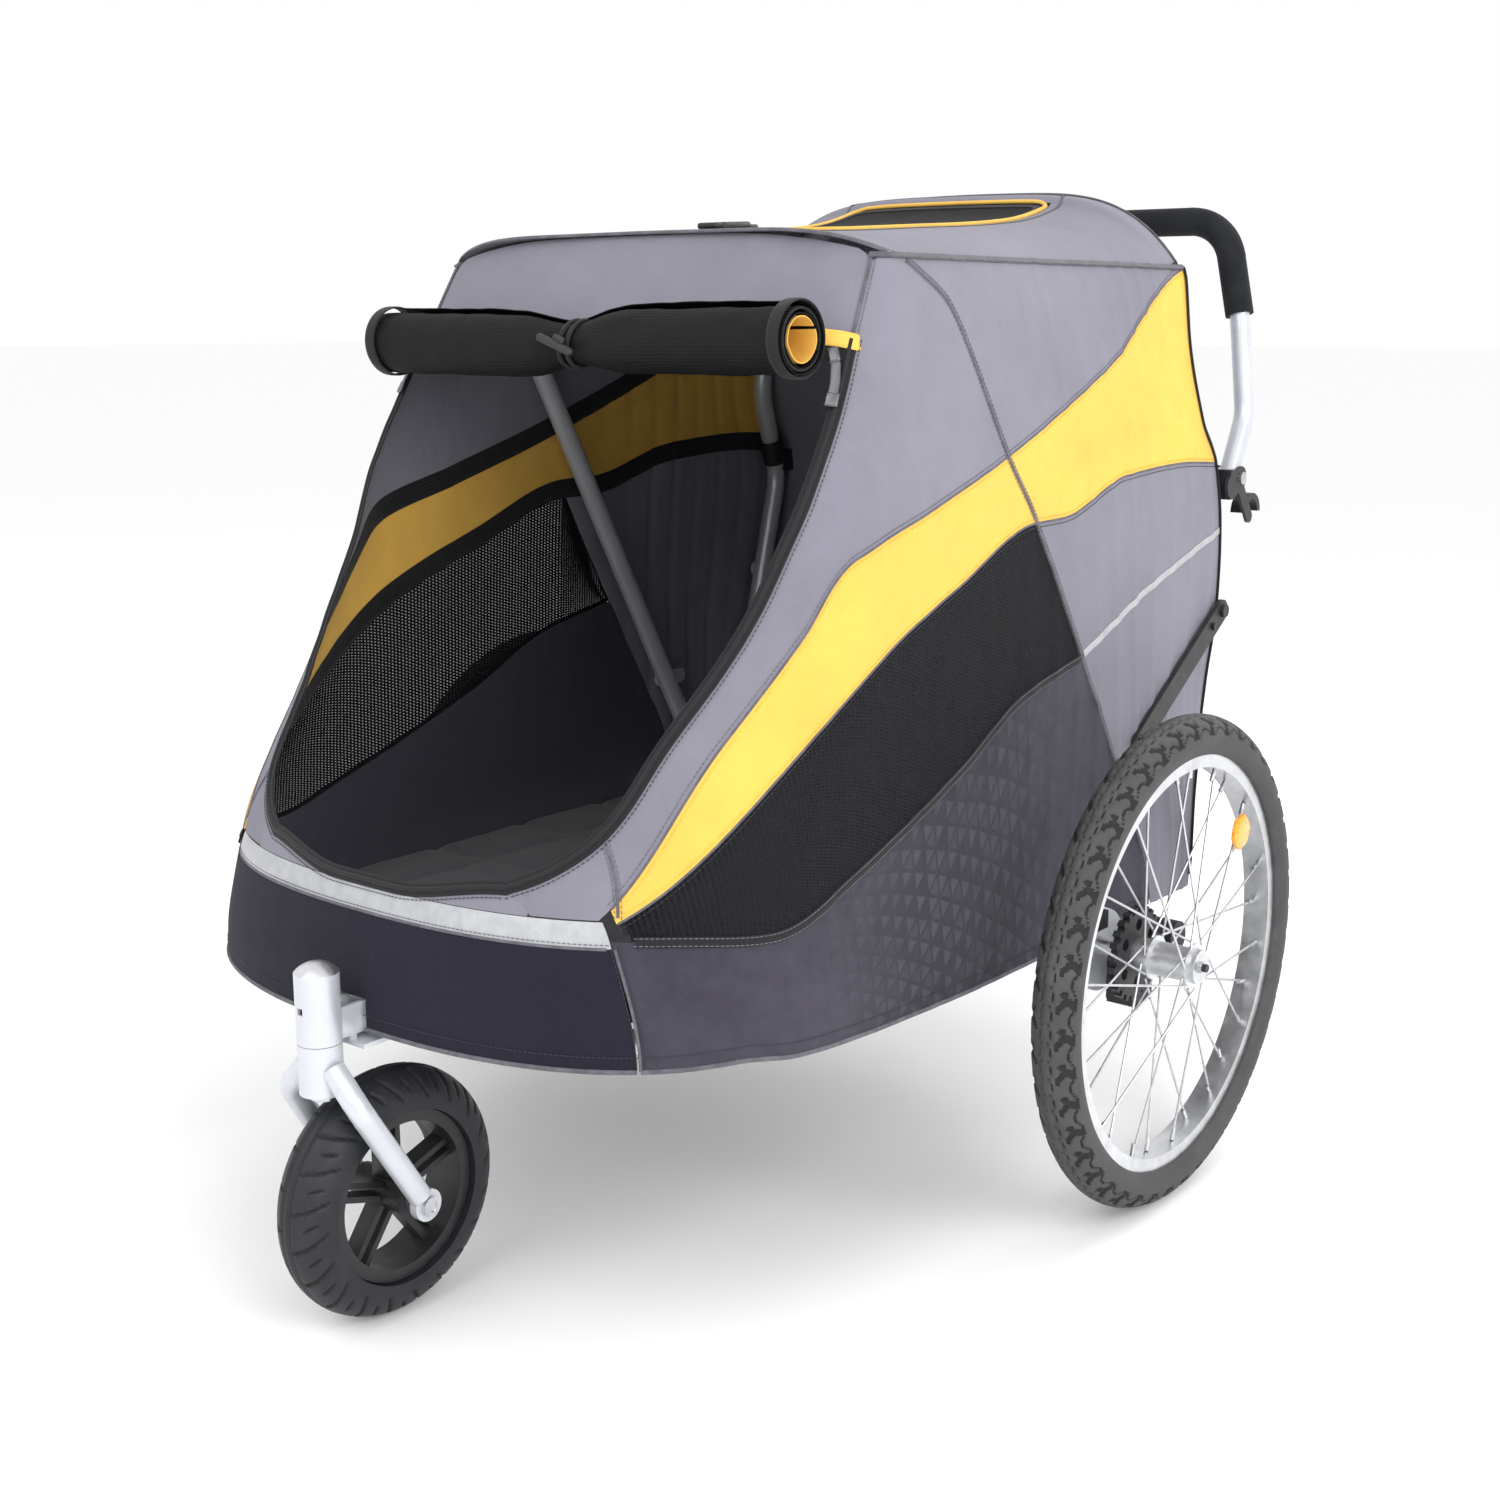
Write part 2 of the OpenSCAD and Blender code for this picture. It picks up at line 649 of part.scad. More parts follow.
module brake_pedal() {
    x0 = plate_x + plate_t / 2 + 5 + seat_gap;
    x1 = wheel_x + disc_in - 10 - seat_gap;
    pad = [101, -10];
    color(black) translate([0, 0, axle_z]) difference() {
        union() {
            translate([0, pedal_pivot[0], pedal_pivot[1]]) x_rod(x0, x1, 9);
            flat_link(pedal_pivot + [6, 4], pad, 6, x0, x1);
            translate([0, pad[0], pad[1]]) x_rod(x0 - 4, x1 + 12, 17);
        }
        translate([0, pedal_pivot[0], pedal_pivot[1]]) x_rod(x0 - 1, x1 + 1, pin_r + running_fit);
        box([x0 - 30, 0, -90], [x1 + 30, 59, 60]);
    }
}

module hoop_brackets() {
    cheek = tube_r + 1.6;
    color(steel) on_rail() both_sides() for (y = [front_pivot_y, rear_pivot_y])
        translate([rail_x, y, 0]) difference() {
            union() {
                for (s = [-1, 1])
                    flat_link([0, 4], [0, pivot_h], 15, s * (cheek + 1.5) - 1.5, s * (cheek + 1.5) + 1.5);
                box([-cheek - 1, -14, tube_r], [cheek + 1, 14, tube_r + 3]);
            }
            translate([0, 0, pivot_h]) x_rod(-40, 40, pin_r);
            translate([0, -40, 0]) rotate([-90, 0, 0]) cylinder(h = 80, r = tube_r + 0.1);
        }
}

module hoop_pins() {
    reach = tube_r + 4.6;
    color(steel) on_rail() both_sides() for (y = [front_pivot_y, rear_pivot_y])
        translate([rail_x, y, pivot_h]) {
            x_rod(-reach - 2, reach + 2, pin_r);
            x_rod(reach, reach + 2, pin_r + 3);
            x_rod(-reach - 2, -reach, pin_r + 3);
        }
}

module floor_board() {
    half = rail_x - tube_r - 11;
    color([0.2, 0.2, 0.21]) on_rail() translate([0, 0, board_h]) linear_extrude(board_t)
        polygon([[half, cabin_rear_y - 25], [half, nose_y + 230], [half - 110, nose_y + 75],
                 [-half + 110, nose_y + 75], [-half, nose_y + 230], [-half, cabin_rear_y - 25]]);
}

module floor_mat() {
    half = rail_x - tube_r - 19;
    color(grey_cloth) on_rail() translate([0, 0, board_h + board_t + seat_gap]) linear_extrude(mat_t)
        polygon([[half, cabin_rear_y - 33], [half, nose_y + 236], [half - 106, nose_y + 87],
                 [-half + 106, nose_y + 87], [-half, nose_y + 236], [-half, cabin_rear_y - 33]]);
}

// ---- Folding bows, handle and braces ------------------------------------------
module bow(path, bends) {
    difference() {
        union() {
            bent_tube(concat(path, mirrored(path)), doubled(bends), tube_r, tube_r - tube_wall);
            both_sides() translate(path[0]) x_rod(-tube_r, tube_r, eye_r);
            children();
        }
        translate(path[0]) x_rod(-2 * path[0][0] - 40, 40, pin_r + running_fit);
    }
}

module front_hoop() {
    leg_share = (brace_low[1] - pivot_h) / (front_hoop_path[1][2] - pivot_h);
    leg = mix(front_hoop_path[0], front_hoop_path[1], leg_share);
    color(silver) on_rail() bow(front_hoop_path, front_bends) both_sides() {
        flat_link([leg[1], leg[2]], brace_low, 9, leg[0] + tube_r - 3, leg[0] + tube_r + 1);
        translate([0, brace_low[0], brace_low[1]]) {
            x_rod(leg[0] + tube_r, brace_x + brace_t + 1, stud_r);
            x_rod(brace_x + brace_t + 0.5, brace_x + brace_t + 3.5, stud_r + 3);
        }
    }
}

module rear_hoop() {
    leg_share = (brace_high[1] - pivot_h) / (rear_hoop_path[1][2] - pivot_h);
    leg = mix(rear_hoop_path[0], rear_hoop_path[1], leg_share);
    color(silver) on_rail() bow(rear_hoop_path, rear_bends) both_sides() {
        flat_link([leg[1], leg[2]], brace_high, 9, leg[0] + tube_r - 3, leg[0] + tube_r + 1);
        translate([0, brace_high[0], brace_high[1]]) x_rod(leg[0] + tube_r, brace_x - 1.5, stud_r);
    }
}

module brace() {
    color(black) on_rail() difference() {
        union() {
            flat_link(brace_low, brace_high, brace_w / 2, brace_x, brace_x + brace_t);
            translate([0, brace_high[0], brace_high[1]]) x_rod(brace_x + 1, brace_x + brace_t + 4, 7);
            translate([0, brace_high[0] - 22, brace_high[1] - 15]) x_rod(brace_x + 1, brace_x + brace_t + 3, 4);
        }
        translate([0, brace_low[0], brace_low[1]]) x_rod(brace_x - 1, brace_x + brace_t + 1, stud_r + running_fit);
    }
}

module handle_brackets() {
    a = rear_hoop_path[1];
    b = rear_hoop_path[2];
    low = mix(a, b, clamp_share[0]);
    high = mix(a, b, clamp_share[1]);
    p = handle_pivot;
    ear = tube_r + 1.2;
    color(black) on_rail() both_sides() difference() {
        union() {
            rod(low, high, tube_r + 2.5);
            box([low[0] - 12, low[1] + 4, p[2] - 16], [p[0] - ear, p[1] - 14, p[2] + 10]);
            box([p[0] - ear - 3.5, p[1] - 26, p[2] - 22], [p[0] + ear + 3.5, p[1] - 14, p[2] + 10]);
            for (s = [-1, 1]) translate([s * (ear + 1.75), 0, 0])
                flat_link([p[1] - 20, p[2] - 8], [p[1], p[2]], 13, p[0] - 1.75, p[0] + 1.75);
            // Open hook below the pivot
            flat_link([p[1] + 2, p[2] - 12], [p[1] + 26, p[2] - 44], 7, p[0] + ear, p[0] + ear + 3.5);
            translate([p[0] + 2, p[1] + 40, p[2] - 40]) rotate([90, 0, 90])
                rotate_extrude(angle = 180) translate([14, -6]) square([7, 16]);
        }
        rod(mix(a, b, -0.2), mix(a, b, 0.8), tube_r + 0.15);
        translate([0, p[1], p[2]]) x_rod(p[0] - 40, p[0] + 40, pin_r);
    }
}

module handle_pins() {
    reach = tube_r + 4.7;
    color(steel) on_rail() both_sides() translate(handle_pivot) {
        x_rod(-reach - 3, reach + 3, pin_r);
        x_rod(reach, reach + 3, pin_r + 3);
        x_rod(-reach - 3, -reach, pin_r + 3);
    }
}

module handlebar() {
    color(silver) on_rail() difference() {
        union() {
            bent_tube(concat(handle_path, mirrored(handle_path)), doubled(handle_bends),
                      tube_r, tube_r - tube_wall);
            both_sides() translate(handle_pivot) x_rod(-tube_r, tube_r, tube_r);
        }
        translate(handle_pivot) x_rod(-2 * handle_pivot[0] - 40, 40, pin_r + running_fit);
    }
}

module handle_grip() {
    top = handle_path[3];
    below = handle_path[2];
    start = mix(top, below, 0.95);
    path = [start, top];
    color(black) on_rail() bent_tube(concat(path, mirrored(path)), [0, handle_bends[3], handle_bends[3], 0],
                                     grip_d / 2, tube_r + seat_gap);
}

// ---- Fabric --------------------------------------------------------------
module skirt_front() {
    half = function(h) side_x(along(seam_from), h) - 2 * seat_gap;
    color(navy) on_rail() difference() {
        front_sheet(half, -3, band_low - seat_gap, 33, 4);
        box([-17, nose_y - 20, -20], [17, nose_y + 40, 22]);
    }
}

module reflective_band() {
    half = function(h) side_x(along(seam_from), h) - 2 * seat_gap;
    color([0.66, 0.66, 0.68]) on_rail() front_sheet(half, band_low, band_top - seat_gap, 33, 2);
}

module stud_holes() {
    difference() {
        children();
        for (spot = [brace_low, brace_high])
            translate([0, spot[0], spot[1]]) x_rod(200, half_w + 60, stud_r + 2);
    }
}

module side_lower() {
    foot = function(f) lookup(f, hem_rise);
    head = function(f) min(lookup(f, mesh_low), seam_h(f));
    color(charcoal) on_rail() difference() {
        stud_holes() side_sheet(seam_from, 0.915, foot, head, 34, 5);
        translate([0, 0, axle_z - rail_z]) x_rod(half_w - 60, half_w + 60, axle_d / 2 + 8);
    }
}

module side_mesh() {
    foot = function(f) lookup(f, mesh_low);
    head = function(f) min(lookup(f, yellow_low), seam_h(f));
    color(mesh_black) on_rail() side_sheet(0.09, 0.734, foot, head, 28, 5);
}

module side_rear() {
    foot = function(f) max(lookup(f, hem_rise), seam_h(f));
    head = function(f) lookup(f, yellow_low);
    color(grey_cloth) on_rail() difference() {
        stud_holes() side_sheet(0.648, side_end, foot, head, 24, 7);
        translate([0, 0, axle_z - rail_z]) x_rod(half_w - 60, half_w + 60, axle_d / 2 + 8);
    }
}

module side_upper() {
    foot = function(f) f < seam_from ? band_top : lookup(f, yellow_low);
    head = function(f) f < window_end[0] ? lookup(f, window_edge) : side_top;
    color(grey_cloth) on_rail() side_sheet(0.05, side_end, foot, head, 44, 8);
}

module rear_panel() {
    rows = 19;
    cols = 15;
    low = -16;
    half = function(h) half_at(min(h, side_top)) - cloth - 3 * seat_gap;
    head = function(t) roof_h(t * half(side_top), roof_rear_y) - cloth - 3 * seat_gap;
    y_at = function(t, h) rear_at(h) + 6 * (1 - t * t);
    spots = [for (i = [0:rows - 1], j = [0:cols - 1])
        let (t = mix(1, -1, i / (rows - 1)))
        [t, mix(low, head(t), j / (cols - 1))]];
    p = handle_pivot;
    color(grey_cloth) on_rail() difference() {
        sheet([for (s = spots) [s[0] * half(s[1]), y_at(s[0], s[1]), s[1]]],
              [for (s = spots) [s[0] * half(s[1]), y_at(s[0], s[1]) - cloth, s[1]]], rows, cols);
        both_sides() {
            box([p[0] - 40, p[1] - 70, p[2] - 30], [p[0] + 30, p[1] + 10, p[2] + 40]);
            translate([0, brace_high[0], brace_high[1]]) x_rod(half_w - 50, half_w, 12);
        }
    }
}

module roof_sheet(x0, x1, y0, y1, rows, cols) {
    spots = [for (i = [0:rows - 1], j = [0:cols - 1])
        [mix(x0, x1, i / (rows - 1)), mix(y0, y1, j / (cols - 1))]];
    sheet([for (s = spots) [s[0], s[1], roof_h(s[0], s[1])]],
          [for (s = spots) [s[0], s[1], roof_h(s[0], s[1]) - cloth]], rows, cols);
}

roof_front_y = front_at(657 * hs) - 3;
roof_rear_y = cabin_rear_y + 25;
apron_low = 580;
roof_mesh_front_y = along(0.56);
roof_mesh_rear_y = cabin_rear_y - 8;

// Front apron: the cloth between the roof's edge and the window's top
module front_apron() {
    rows = 25;
    cols = 4;
    edge = function(h) side_x(along(mix(window_top[0], window_end[0], (min(h, side_top) - window_top[1])
        / (side_top - window_top[1]))), h)
        - 3 * seat_gap;
    head = function(t) roof_h(t * edge(side_top), roof_front_y) - cloth - 2 * seat_gap;
    spots = [for (i = [0:rows - 1], j = [0:cols - 1])
        let (t = mix(-1, 1, i / (rows - 1)), h = mix(apron_low, head(t), j / (cols - 1)))
        [t * edge(h), h]];
    sheet([for (s = spots) front_point(s[0], s[1], 0)],
          [for (s = spots) front_point(s[0], s[1], cloth)], rows, cols);
}

module roof_cover() {
    half = half_at(side_top * hs) - 3;
    hole = roof_mesh_half_w;
    color(grey_cloth) on_rail() {
        difference() {
            roof_sheet(-half, half, roof_front_y, roof_rear_y, 33, 23);
            box([-hole, roof_mesh_front_y, 500], [hole, roof_mesh_rear_y, 900]);
        }
        front_apron();
    }
}

module roof_mesh() {
    hole = roof_mesh_half_w - seat_gap;
    color(mesh_black) on_rail()
        roof_sheet(-hole, hole, roof_mesh_front_y + seat_gap, roof_mesh_rear_y - seat_gap, 13, 11);
}

roll_y = along(0.323);
roll_h = 564 * hs;
roll_r = 32;

module rolled_window() {
    end = 254 / 328 * half_w;
    color(mesh_black) on_rail() translate([0, roll_y, roll_h]) rotate([0, 90, 0]) rotate_extrude()
        polygon([[0, -end], [roll_r, -end], [roll_r, -end / 3], [roll_r * 0.8, -6], [roll_r * 0.8, 6],
                 [roll_r, end / 3], [roll_r, end], [0, end]]);
    // Neck of mesh between the apron's edge and the roll
    color(mesh_black) on_rail() front_sheet(function(h) end * 0.85, apron_low - 7, apron_low - seat_gap, 17, 2);
}

module window_straps() {
    r = roll_r * 0.8 + seat_gap;
    color(black) on_rail() translate([0, roll_y, roll_h]) x_turned(-5, 5, r + 2, r);
}

// ---- Assembly ------------------------------------------------------------
front_end = wheelbase - trail + front_tyre_d / 2;
rear_end = handle_path[3][1] + grip_d / 2;
shift_y = (front_end - rear_end) / 2;

module right_side() {
    mirror([1, 0, 0]) children();
}

translate([0, shift_y, 0]) {
    rear_tyre();  // rear_tyre_left
    right_side() rear_tyre();  // rear_tyre_right
    rear_rim();  // rear_rim_left
    right_side() rear_rim();  // rear_rim_right
    spokes();  // spokes_left
    right_side() spokes();  // spokes_right
    rear_hub();  // rear_hub_left
    right_side() rear_hub();  // rear_hub_right
    hub_bearings();  // hub_bearings_left
    right_side() hub_bearings();  // hub_bearings_right
    brake_disc();  // brake_disc_left
    right_side() brake_disc();  // brake_disc_right
    wheel_reflector();  // wheel_reflector_left
    right_side() wheel_reflector();  // wheel_reflector_right
    release_button();  // release_button_left
    right_side() release_button();  // release_button_right
    front_tyre();
    front_wheel_core();
    front_axle();
    fork_crown();
    fork_blades();
    base_frame();
    head_tube();
    head_bracket();
    head_cap();
    head_bearings();
    axle_tube();
    axle_saddles();
    axle_plates();
    wheel_axles();
    brake_housings();
    brake_pedal();  // brake_pedal_left
    right_side() brake_pedal();  // brake_pedal_right
    hoop_brackets();
    hoop_pins();
    front_hoop();
    rear_hoop();
    handle_brackets();
    handle_pins();
    handlebar();
    handle_grip();
    brace();  // brace_left
    right_side() brace();  // brace_right
    floor_board();
    floor_mat();
    skirt_front();
    reflective_band();
    side_lower();  // side_lower_left
    right_side() side_lower();  // side_lower_right
    side_mesh();  // side_mesh_left
    right_side() side_mesh();  // side_mesh_right
    side_rear();  // side_rear_left
    right_side() side_rear();  // side_rear_right
    side_upper();  // side_upper_left
    right_side() side_upper();  // side_upper_right
    rear_panel();
    roof_cover();
    roof_mesh();
    rolled_window();
    window_straps();
}
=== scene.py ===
import math

import bpy
import numpy as np
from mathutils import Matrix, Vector

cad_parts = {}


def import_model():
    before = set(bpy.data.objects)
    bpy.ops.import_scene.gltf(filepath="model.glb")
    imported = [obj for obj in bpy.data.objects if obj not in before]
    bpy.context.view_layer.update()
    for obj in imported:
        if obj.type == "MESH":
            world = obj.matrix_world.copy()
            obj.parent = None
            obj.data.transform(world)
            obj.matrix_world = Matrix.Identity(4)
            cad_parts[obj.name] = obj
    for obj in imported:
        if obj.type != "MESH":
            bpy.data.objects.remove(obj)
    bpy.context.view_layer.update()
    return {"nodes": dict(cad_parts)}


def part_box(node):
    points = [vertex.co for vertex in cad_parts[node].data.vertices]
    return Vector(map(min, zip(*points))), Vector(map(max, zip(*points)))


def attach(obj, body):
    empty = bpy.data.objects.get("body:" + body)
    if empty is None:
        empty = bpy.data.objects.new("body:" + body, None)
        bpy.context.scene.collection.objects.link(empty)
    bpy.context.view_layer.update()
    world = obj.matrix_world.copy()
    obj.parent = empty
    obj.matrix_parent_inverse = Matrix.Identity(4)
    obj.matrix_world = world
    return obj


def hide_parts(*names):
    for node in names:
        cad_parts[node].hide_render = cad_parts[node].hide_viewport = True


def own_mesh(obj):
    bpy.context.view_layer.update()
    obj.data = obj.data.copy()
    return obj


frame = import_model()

MM = 0.001

# ---- Places taken from the frame, in millimetres ----------------------------
# Cabin points are (x, y, h): y from the rear axle, h up from the base rail.


def box_mm(node):
    low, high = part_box(node)
    return np.array(low) / MM, np.array(high) / MM


tyre_low, tyre_high = box_mm("rear_tyre_left")
pins_low, pins_high = box_mm("hoop_pins")
_, side_high = box_mm("side_lower_left")
skirt_low, _ = box_mm("skirt_front")
caster_low, caster_high = box_mm("front_tyre")
mat_low, mat_high = box_mm("floor_mat")

PIVOT_H = 30
AXLE_Y = (tyre_low[1] + tyre_high[1]) / 2
WHEEL_R = (tyre_high[2] - tyre_low[2]) / 2
WHEEL_X = (tyre_low[0] + tyre_high[0]) / 2
RAIL_Z = (pins_low[2] + pins_high[2]) / 2 - PIVOT_H
HALF_W = side_high[0]
NOSE_Y = skirt_low[1] - AXLE_Y
REAR_Y = 240
CABIN_L = REAR_Y - NOSE_Y
CLOTH = 1.4
SCREEN = 0.5


def world(points):
    """Cabin millimetres to metres in the shared frame."""
    return (np.asarray(points, float) + [0, AXLE_Y, RAIL_Z]) * MM


# ---- The cabin's outline ----------------------------------------------------
class Curve:
    """A smooth curve through a few points, which never overshoots them."""

    def __init__(self, *points):
        self.x, self.y = np.array(points, float).T
        rise = np.diff(self.y) / np.diff(self.x)
        a, b = rise[:-1], rise[1:]
        same = a * b > 0
        inner = np.where(same, 2 * a * b / np.where(same, a + b, 1), 0)
        self.slope = np.concatenate([[rise[0]], inner, [rise[-1]]])

    def __call__(self, v):
        v = np.clip(v, self.x[0], self.x[-1])
        i = np.clip(np.searchsorted(self.x, v) - 1, 0, len(self.x) - 2)
        w = self.x[i + 1] - self.x[i]
        t = (v - self.x[i]) / w
        return (
            (2 * t**3 - 3 * t**2 + 1) * self.y[i]
            + (t**3 - 2 * t**2 + t) * w * self.slope[i]
            + (3 * t**2 - 2 * t**3) * self.y[i + 1]
            + (t**3 - t**2) * w * self.slope[i + 1]
        )


side_inset = Curve((-30, 0), (-3, 0), (122, 8), (322, 16), (522, 34), (622, 54), (657, 68), (722, 100))
nose_lean = Curve((-30, 0), (-3, 0), (94, 17), (115, 23), (250, 112), (657, 381), (722, 424))
corner_depth = Curve((115, 245), (248, 205), (360, 167), (440, 104), (522, 80), (657, 36))
rear_bulge = Curve(
    (-28, -7), (34, -1), (185, 31), (238, 47), (275, 58), (368, 67), (431, 59), (477, 33),
    (551, 16), (631, 26), (722, 26),
)
hem_rise = Curve((0, -3), (0.149, -3), (0.218, -12), (0.38, -23), (0.563, -28), (1.1, -28))
window_edge = Curve(
    (0.041, 127), (0.068, 147), (0.1055, 179), (0.168, 248), (0.2625, 360), (0.309, 440),
    (0.352, 507), (0.382, 558), (0.428, 634),
)
yellow_top = Curve(
    (0.078, 116), (0.181, 230), (0.276, 325), (0.337, 387), (0.456, 420), (0.596, 459),
    (0.799, 529), (1.02, 623), (1.066, 634),
)
yellow_low = Curve(
    (0.078, 108), (0.36, 300), (0.5, 351), (0.644, 395), (0.699, 396), (0.845, 428),
    (0.979, 434), (1.066, 430),
)
mesh_low = Curve(
    (0.078, 100), (0.114, 99), (0.198, 92), (0.305, 119), (0.495, 183), (0.61, 232), (0.7355, 257)
)
bow_seam = Curve(
    (148, 0.808), (255, 0.735), (323, 0.692), (393, 0.648), (461, 0.596), (538, 0.551),
    (599, 0.515), (634, 0.454),
)
roof_crown = Curve(
    (-0.1, 659), (0.42, 659), (0.737, 672), (0.88, 682), (0.987, 704), (1.0, 716), (1.1, 718)
)
SIDE_TOP = 634
ROOF_EDGE = 637
BAND_LOW = 94
BAND_TOP = 115
SEAM_FROM = 0.079
SIDE_END = 1.066
WARP_FROM = 0.845
WINDOW_FROM = 0.05
WINDOW_TOP = (0.382, 558)
WINDOW_END = (0.428, 634)
SEAM_F = 0.905
SEAM_RISE = 1520
BOW_FROM = 393


def along(f):
    return NOSE_Y + f * CABIN_L


def half_at(h):
    return HALF_W - side_inset(h)


def front_at(h):
    return NOSE_Y + nose_lean(h)


def side_x(y, h):
    c = np.clip(1 - (y - front_at(h)) / corner_depth(h), 0, 1)
    return half_at(h) * (1 - c**2.5) ** 0.4


def front_y(x, h):
    t = np.minimum(1, np.abs(x) / half_at(h))
    return front_at(h) + corner_depth(h) * (1 - (1 - t**2.5) ** 0.4)


def rear_at(h):
    return REAR_Y + rear_bulge(h)


def side_y(f, h):
    warp = (f - WARP_FROM) / (SIDE_END - WARP_FROM)
    return np.where(f <= WARP_FROM, along(f), along(WARP_FROM) + warp * (rear_at(h) - along(WARP_FROM)))


def seam_h(f):
    """Height of the seam between the lower side and the rear side."""
    return (SEAM_F - f) * SEAM_RISE


def roof_h(x, y):
    f = (y - NOSE_Y) / CABIN_L
    power = 6 - 1.5 * np.clip((f - 0.7) / 0.2, 0, 1)
    share = np.minimum(1, np.abs(x) / (half_at(SIDE_TOP) - 3))
    return roof_crown(f) - (roof_crown(f) - ROOF_EDGE) * share**power


# ---- Noise for creases, the same at every run --------------------------------
def noise_grid(seed):
    return np.random.default_rng(seed).uniform(-1, 1, (32, 32))


NOISE = [noise_grid(seed) for seed in range(6)]


def noise(u, v, seed):
    """Smooth noise from -1 to 1, one bump a unit."""
    u, v = np.broadcast_arrays(np.asarray(u, float), np.asarray(v, float))
    i, j = np.floor(u).astype(int), np.floor(v).astype(int)
    s, t = u - i, v - j
    s, t = s * s * (3 - 2 * s), t * t * (3 - 2 * t)
    g = NOISE[seed]

    def at(a, b):
        return g[a % 32, b % 32]

    low = at(i, j) * (1 - s) + at(i + 1, j) * s
    high = at(i, j + 1) * (1 - s) + at(i + 1, j + 1) * s
    return low * (1 - t) + high * t


def smoothstep(low, high, v):
    t = np.clip((v - low) / (high - low), 0, 1)
    return t * t * (3 - 2 * t)


def side_creases(f, h):
    """How far the side's cloth stands out, in millimetres: soft vertical folds that
    deepen towards the rear bow, and slack between the seams."""
    slack = 0.9 + 0.9 * noise(f * 7, h / 110, 0)
    rear = smoothstep(0.5, 0.9, f)
    sway = 0.35 * noise(f * 3, h / 240, 1)
    folds = np.sin((f * 21 + sway * 2 + h / 900) * 2 * math.pi)
    folds = np.maximum(0, folds) ** 1.5 * (0.6 + 0.4 * noise(f * 13, h / 160, 2))
    puckers = 0.35 * noise(f * 60, h / 30, 3)
    return slack + rear * 2.6 * folds + puckers + 0.4


def side_spot(f, h, out=0.0):
    """A point of the left side's cloth, and its outward normal."""
    def raw(f, h):
        y = side_y(f, h)
        return np.stack([side_x(y, h), y, np.broadcast_to(h, y.shape) + 0.0], -1)

    f, h = np.broadcast_arrays(np.asarray(f, float), np.asarray(h, float))
    step_f = 0.002
    step_h = 1.5
    along_f = raw(f + step_f, h) - raw(f - step_f, h)
    along_h = raw(f, h + step_h) - raw(f, h - step_h)
    n = np.cross(along_f, along_h)
    n /= np.linalg.norm(n, axis=-1, keepdims=True) + 1e-9
    n *= np.sign((n * [1.0, -0.25, 0.1]).sum(-1, keepdims=True) + 1e-12)
    edge = smoothstep(0.02, 0.12, f)
    lift = (side_creases(f, h) * edge + out)[..., None]
    return raw(f, h) + n * lift, n


def front_spot(x, h, out=0.0):
    """A point of the front's cloth, and its outward normal."""
    x, h = np.broadcast_arrays(np.asarray(x, float), np.asarray(h, float))

    def raw(x, h):
        return np.stack([x, front_y(x, h), h + 0.0], -1)

    n = np.cross(raw(x + 0.5, h) - raw(x - 0.5, h), raw(x, h + 1) - raw(x, h - 1))
    n /= np.linalg.norm(n, axis=-1, keepdims=True) + 1e-9
    n *= -np.sign(n[..., 1:2] + 1e-12)
    lift = (0.5 + 0.5 * noise(x / 90, h / 60, 4) + out)[..., None]
    return raw(x, h) + n * lift, n


def roof_spot(x, y, out=0.0):
    """A point of the roof's cloth, and its outward normal."""
    x, y = np.broadcast_arrays(np.asarray(x, float), np.asarray(y, float))

    def raw(x, y):
        return np.stack([x, y + 0.0, roof_h(x, y)], -1)

    n = np.cross(raw(x + 0.5, y) - raw(x - 0.5, y), raw(x, y + 1) - raw(x, y - 1))
    n /= np.linalg.norm(n, axis=-1, keepdims=True) + 1e-9
    n *= np.sign(n[..., 2:3] + 1e-12)
    middle = 1 - np.abs(x) / HALF_W
    lift = (0.4 + 1.1 * middle * (1 + noise(x / 90, y / 120, 5)) + out)[..., None]
    return raw(x, y) + n * lift, n


# ---- Meshes -----------------------------------------------------------------
def build(name, points, faces, uv, materials, face_material=None, sharp=math.radians(50)):
    """A mesh object from points in metres, with a UV map in metres."""
    mesh = bpy.data.meshes.new(name)
    mesh.from_pydata(np.asarray(points, float).tolist(), [], faces)
    layer = mesh.uv_layers.new(name="UVMap")
    corner = np.empty(len(mesh.loops), int)
    mesh.loops.foreach_get("vertex_index", corner)
    layer.data.foreach_set("uv", np.asarray(uv, float)[corner].ravel())
    for m in materials:
        mesh.materials.append(m)
    if face_material is not None:
        mesh.polygons.foreach_set("material_index", face_material)
    mesh.polygons.foreach_set("use_smooth", [True] * len(mesh.polygons))
    mesh.set_sharp_from_angle(angle=sharp)
    mesh.update()
    piece = bpy.data.objects.new(name, mesh)
    bpy.context.scene.collection.objects.link(piece)
    return piece


def quads(rows, cols, start=0, flip=False):
    """Faces of a grid of rows by cols points."""
    faces = []
    for i in range(rows - 1):
        for j in range(cols - 1):
            a = start + i * cols + j
            face = [a, a + 1, a + cols + 1, a + cols]
            faces.append(face[::-1] if flip else face)
    return faces


def ring_faces(rings, count, closed=False, inward=False):
    """Faces that join rings of count points each, one ring to the next."""
    faces = []
    for i in range(rings if closed else rings - 1):
        k = (i + 1) % rings
        for j in range(count):
            m = (j + 1) % count
            a, b, c, d = i * count + j, i * count + m, k * count + m, k * count + j
            faces.append([a, d, c, b] if inward else [a, b, c, d])
    return faces


def grid_rim(rows, cols):
    """The grid's outer points, in order round its edge."""
    return (
        list(range(cols))
        + [i * cols + cols - 1 for i in range(1, rows)]
        + [(rows - 1) * cols + j for j in range(cols - 2, -1, -1)]
        + [i * cols for i in range(rows - 2, 0, -1)]
    )


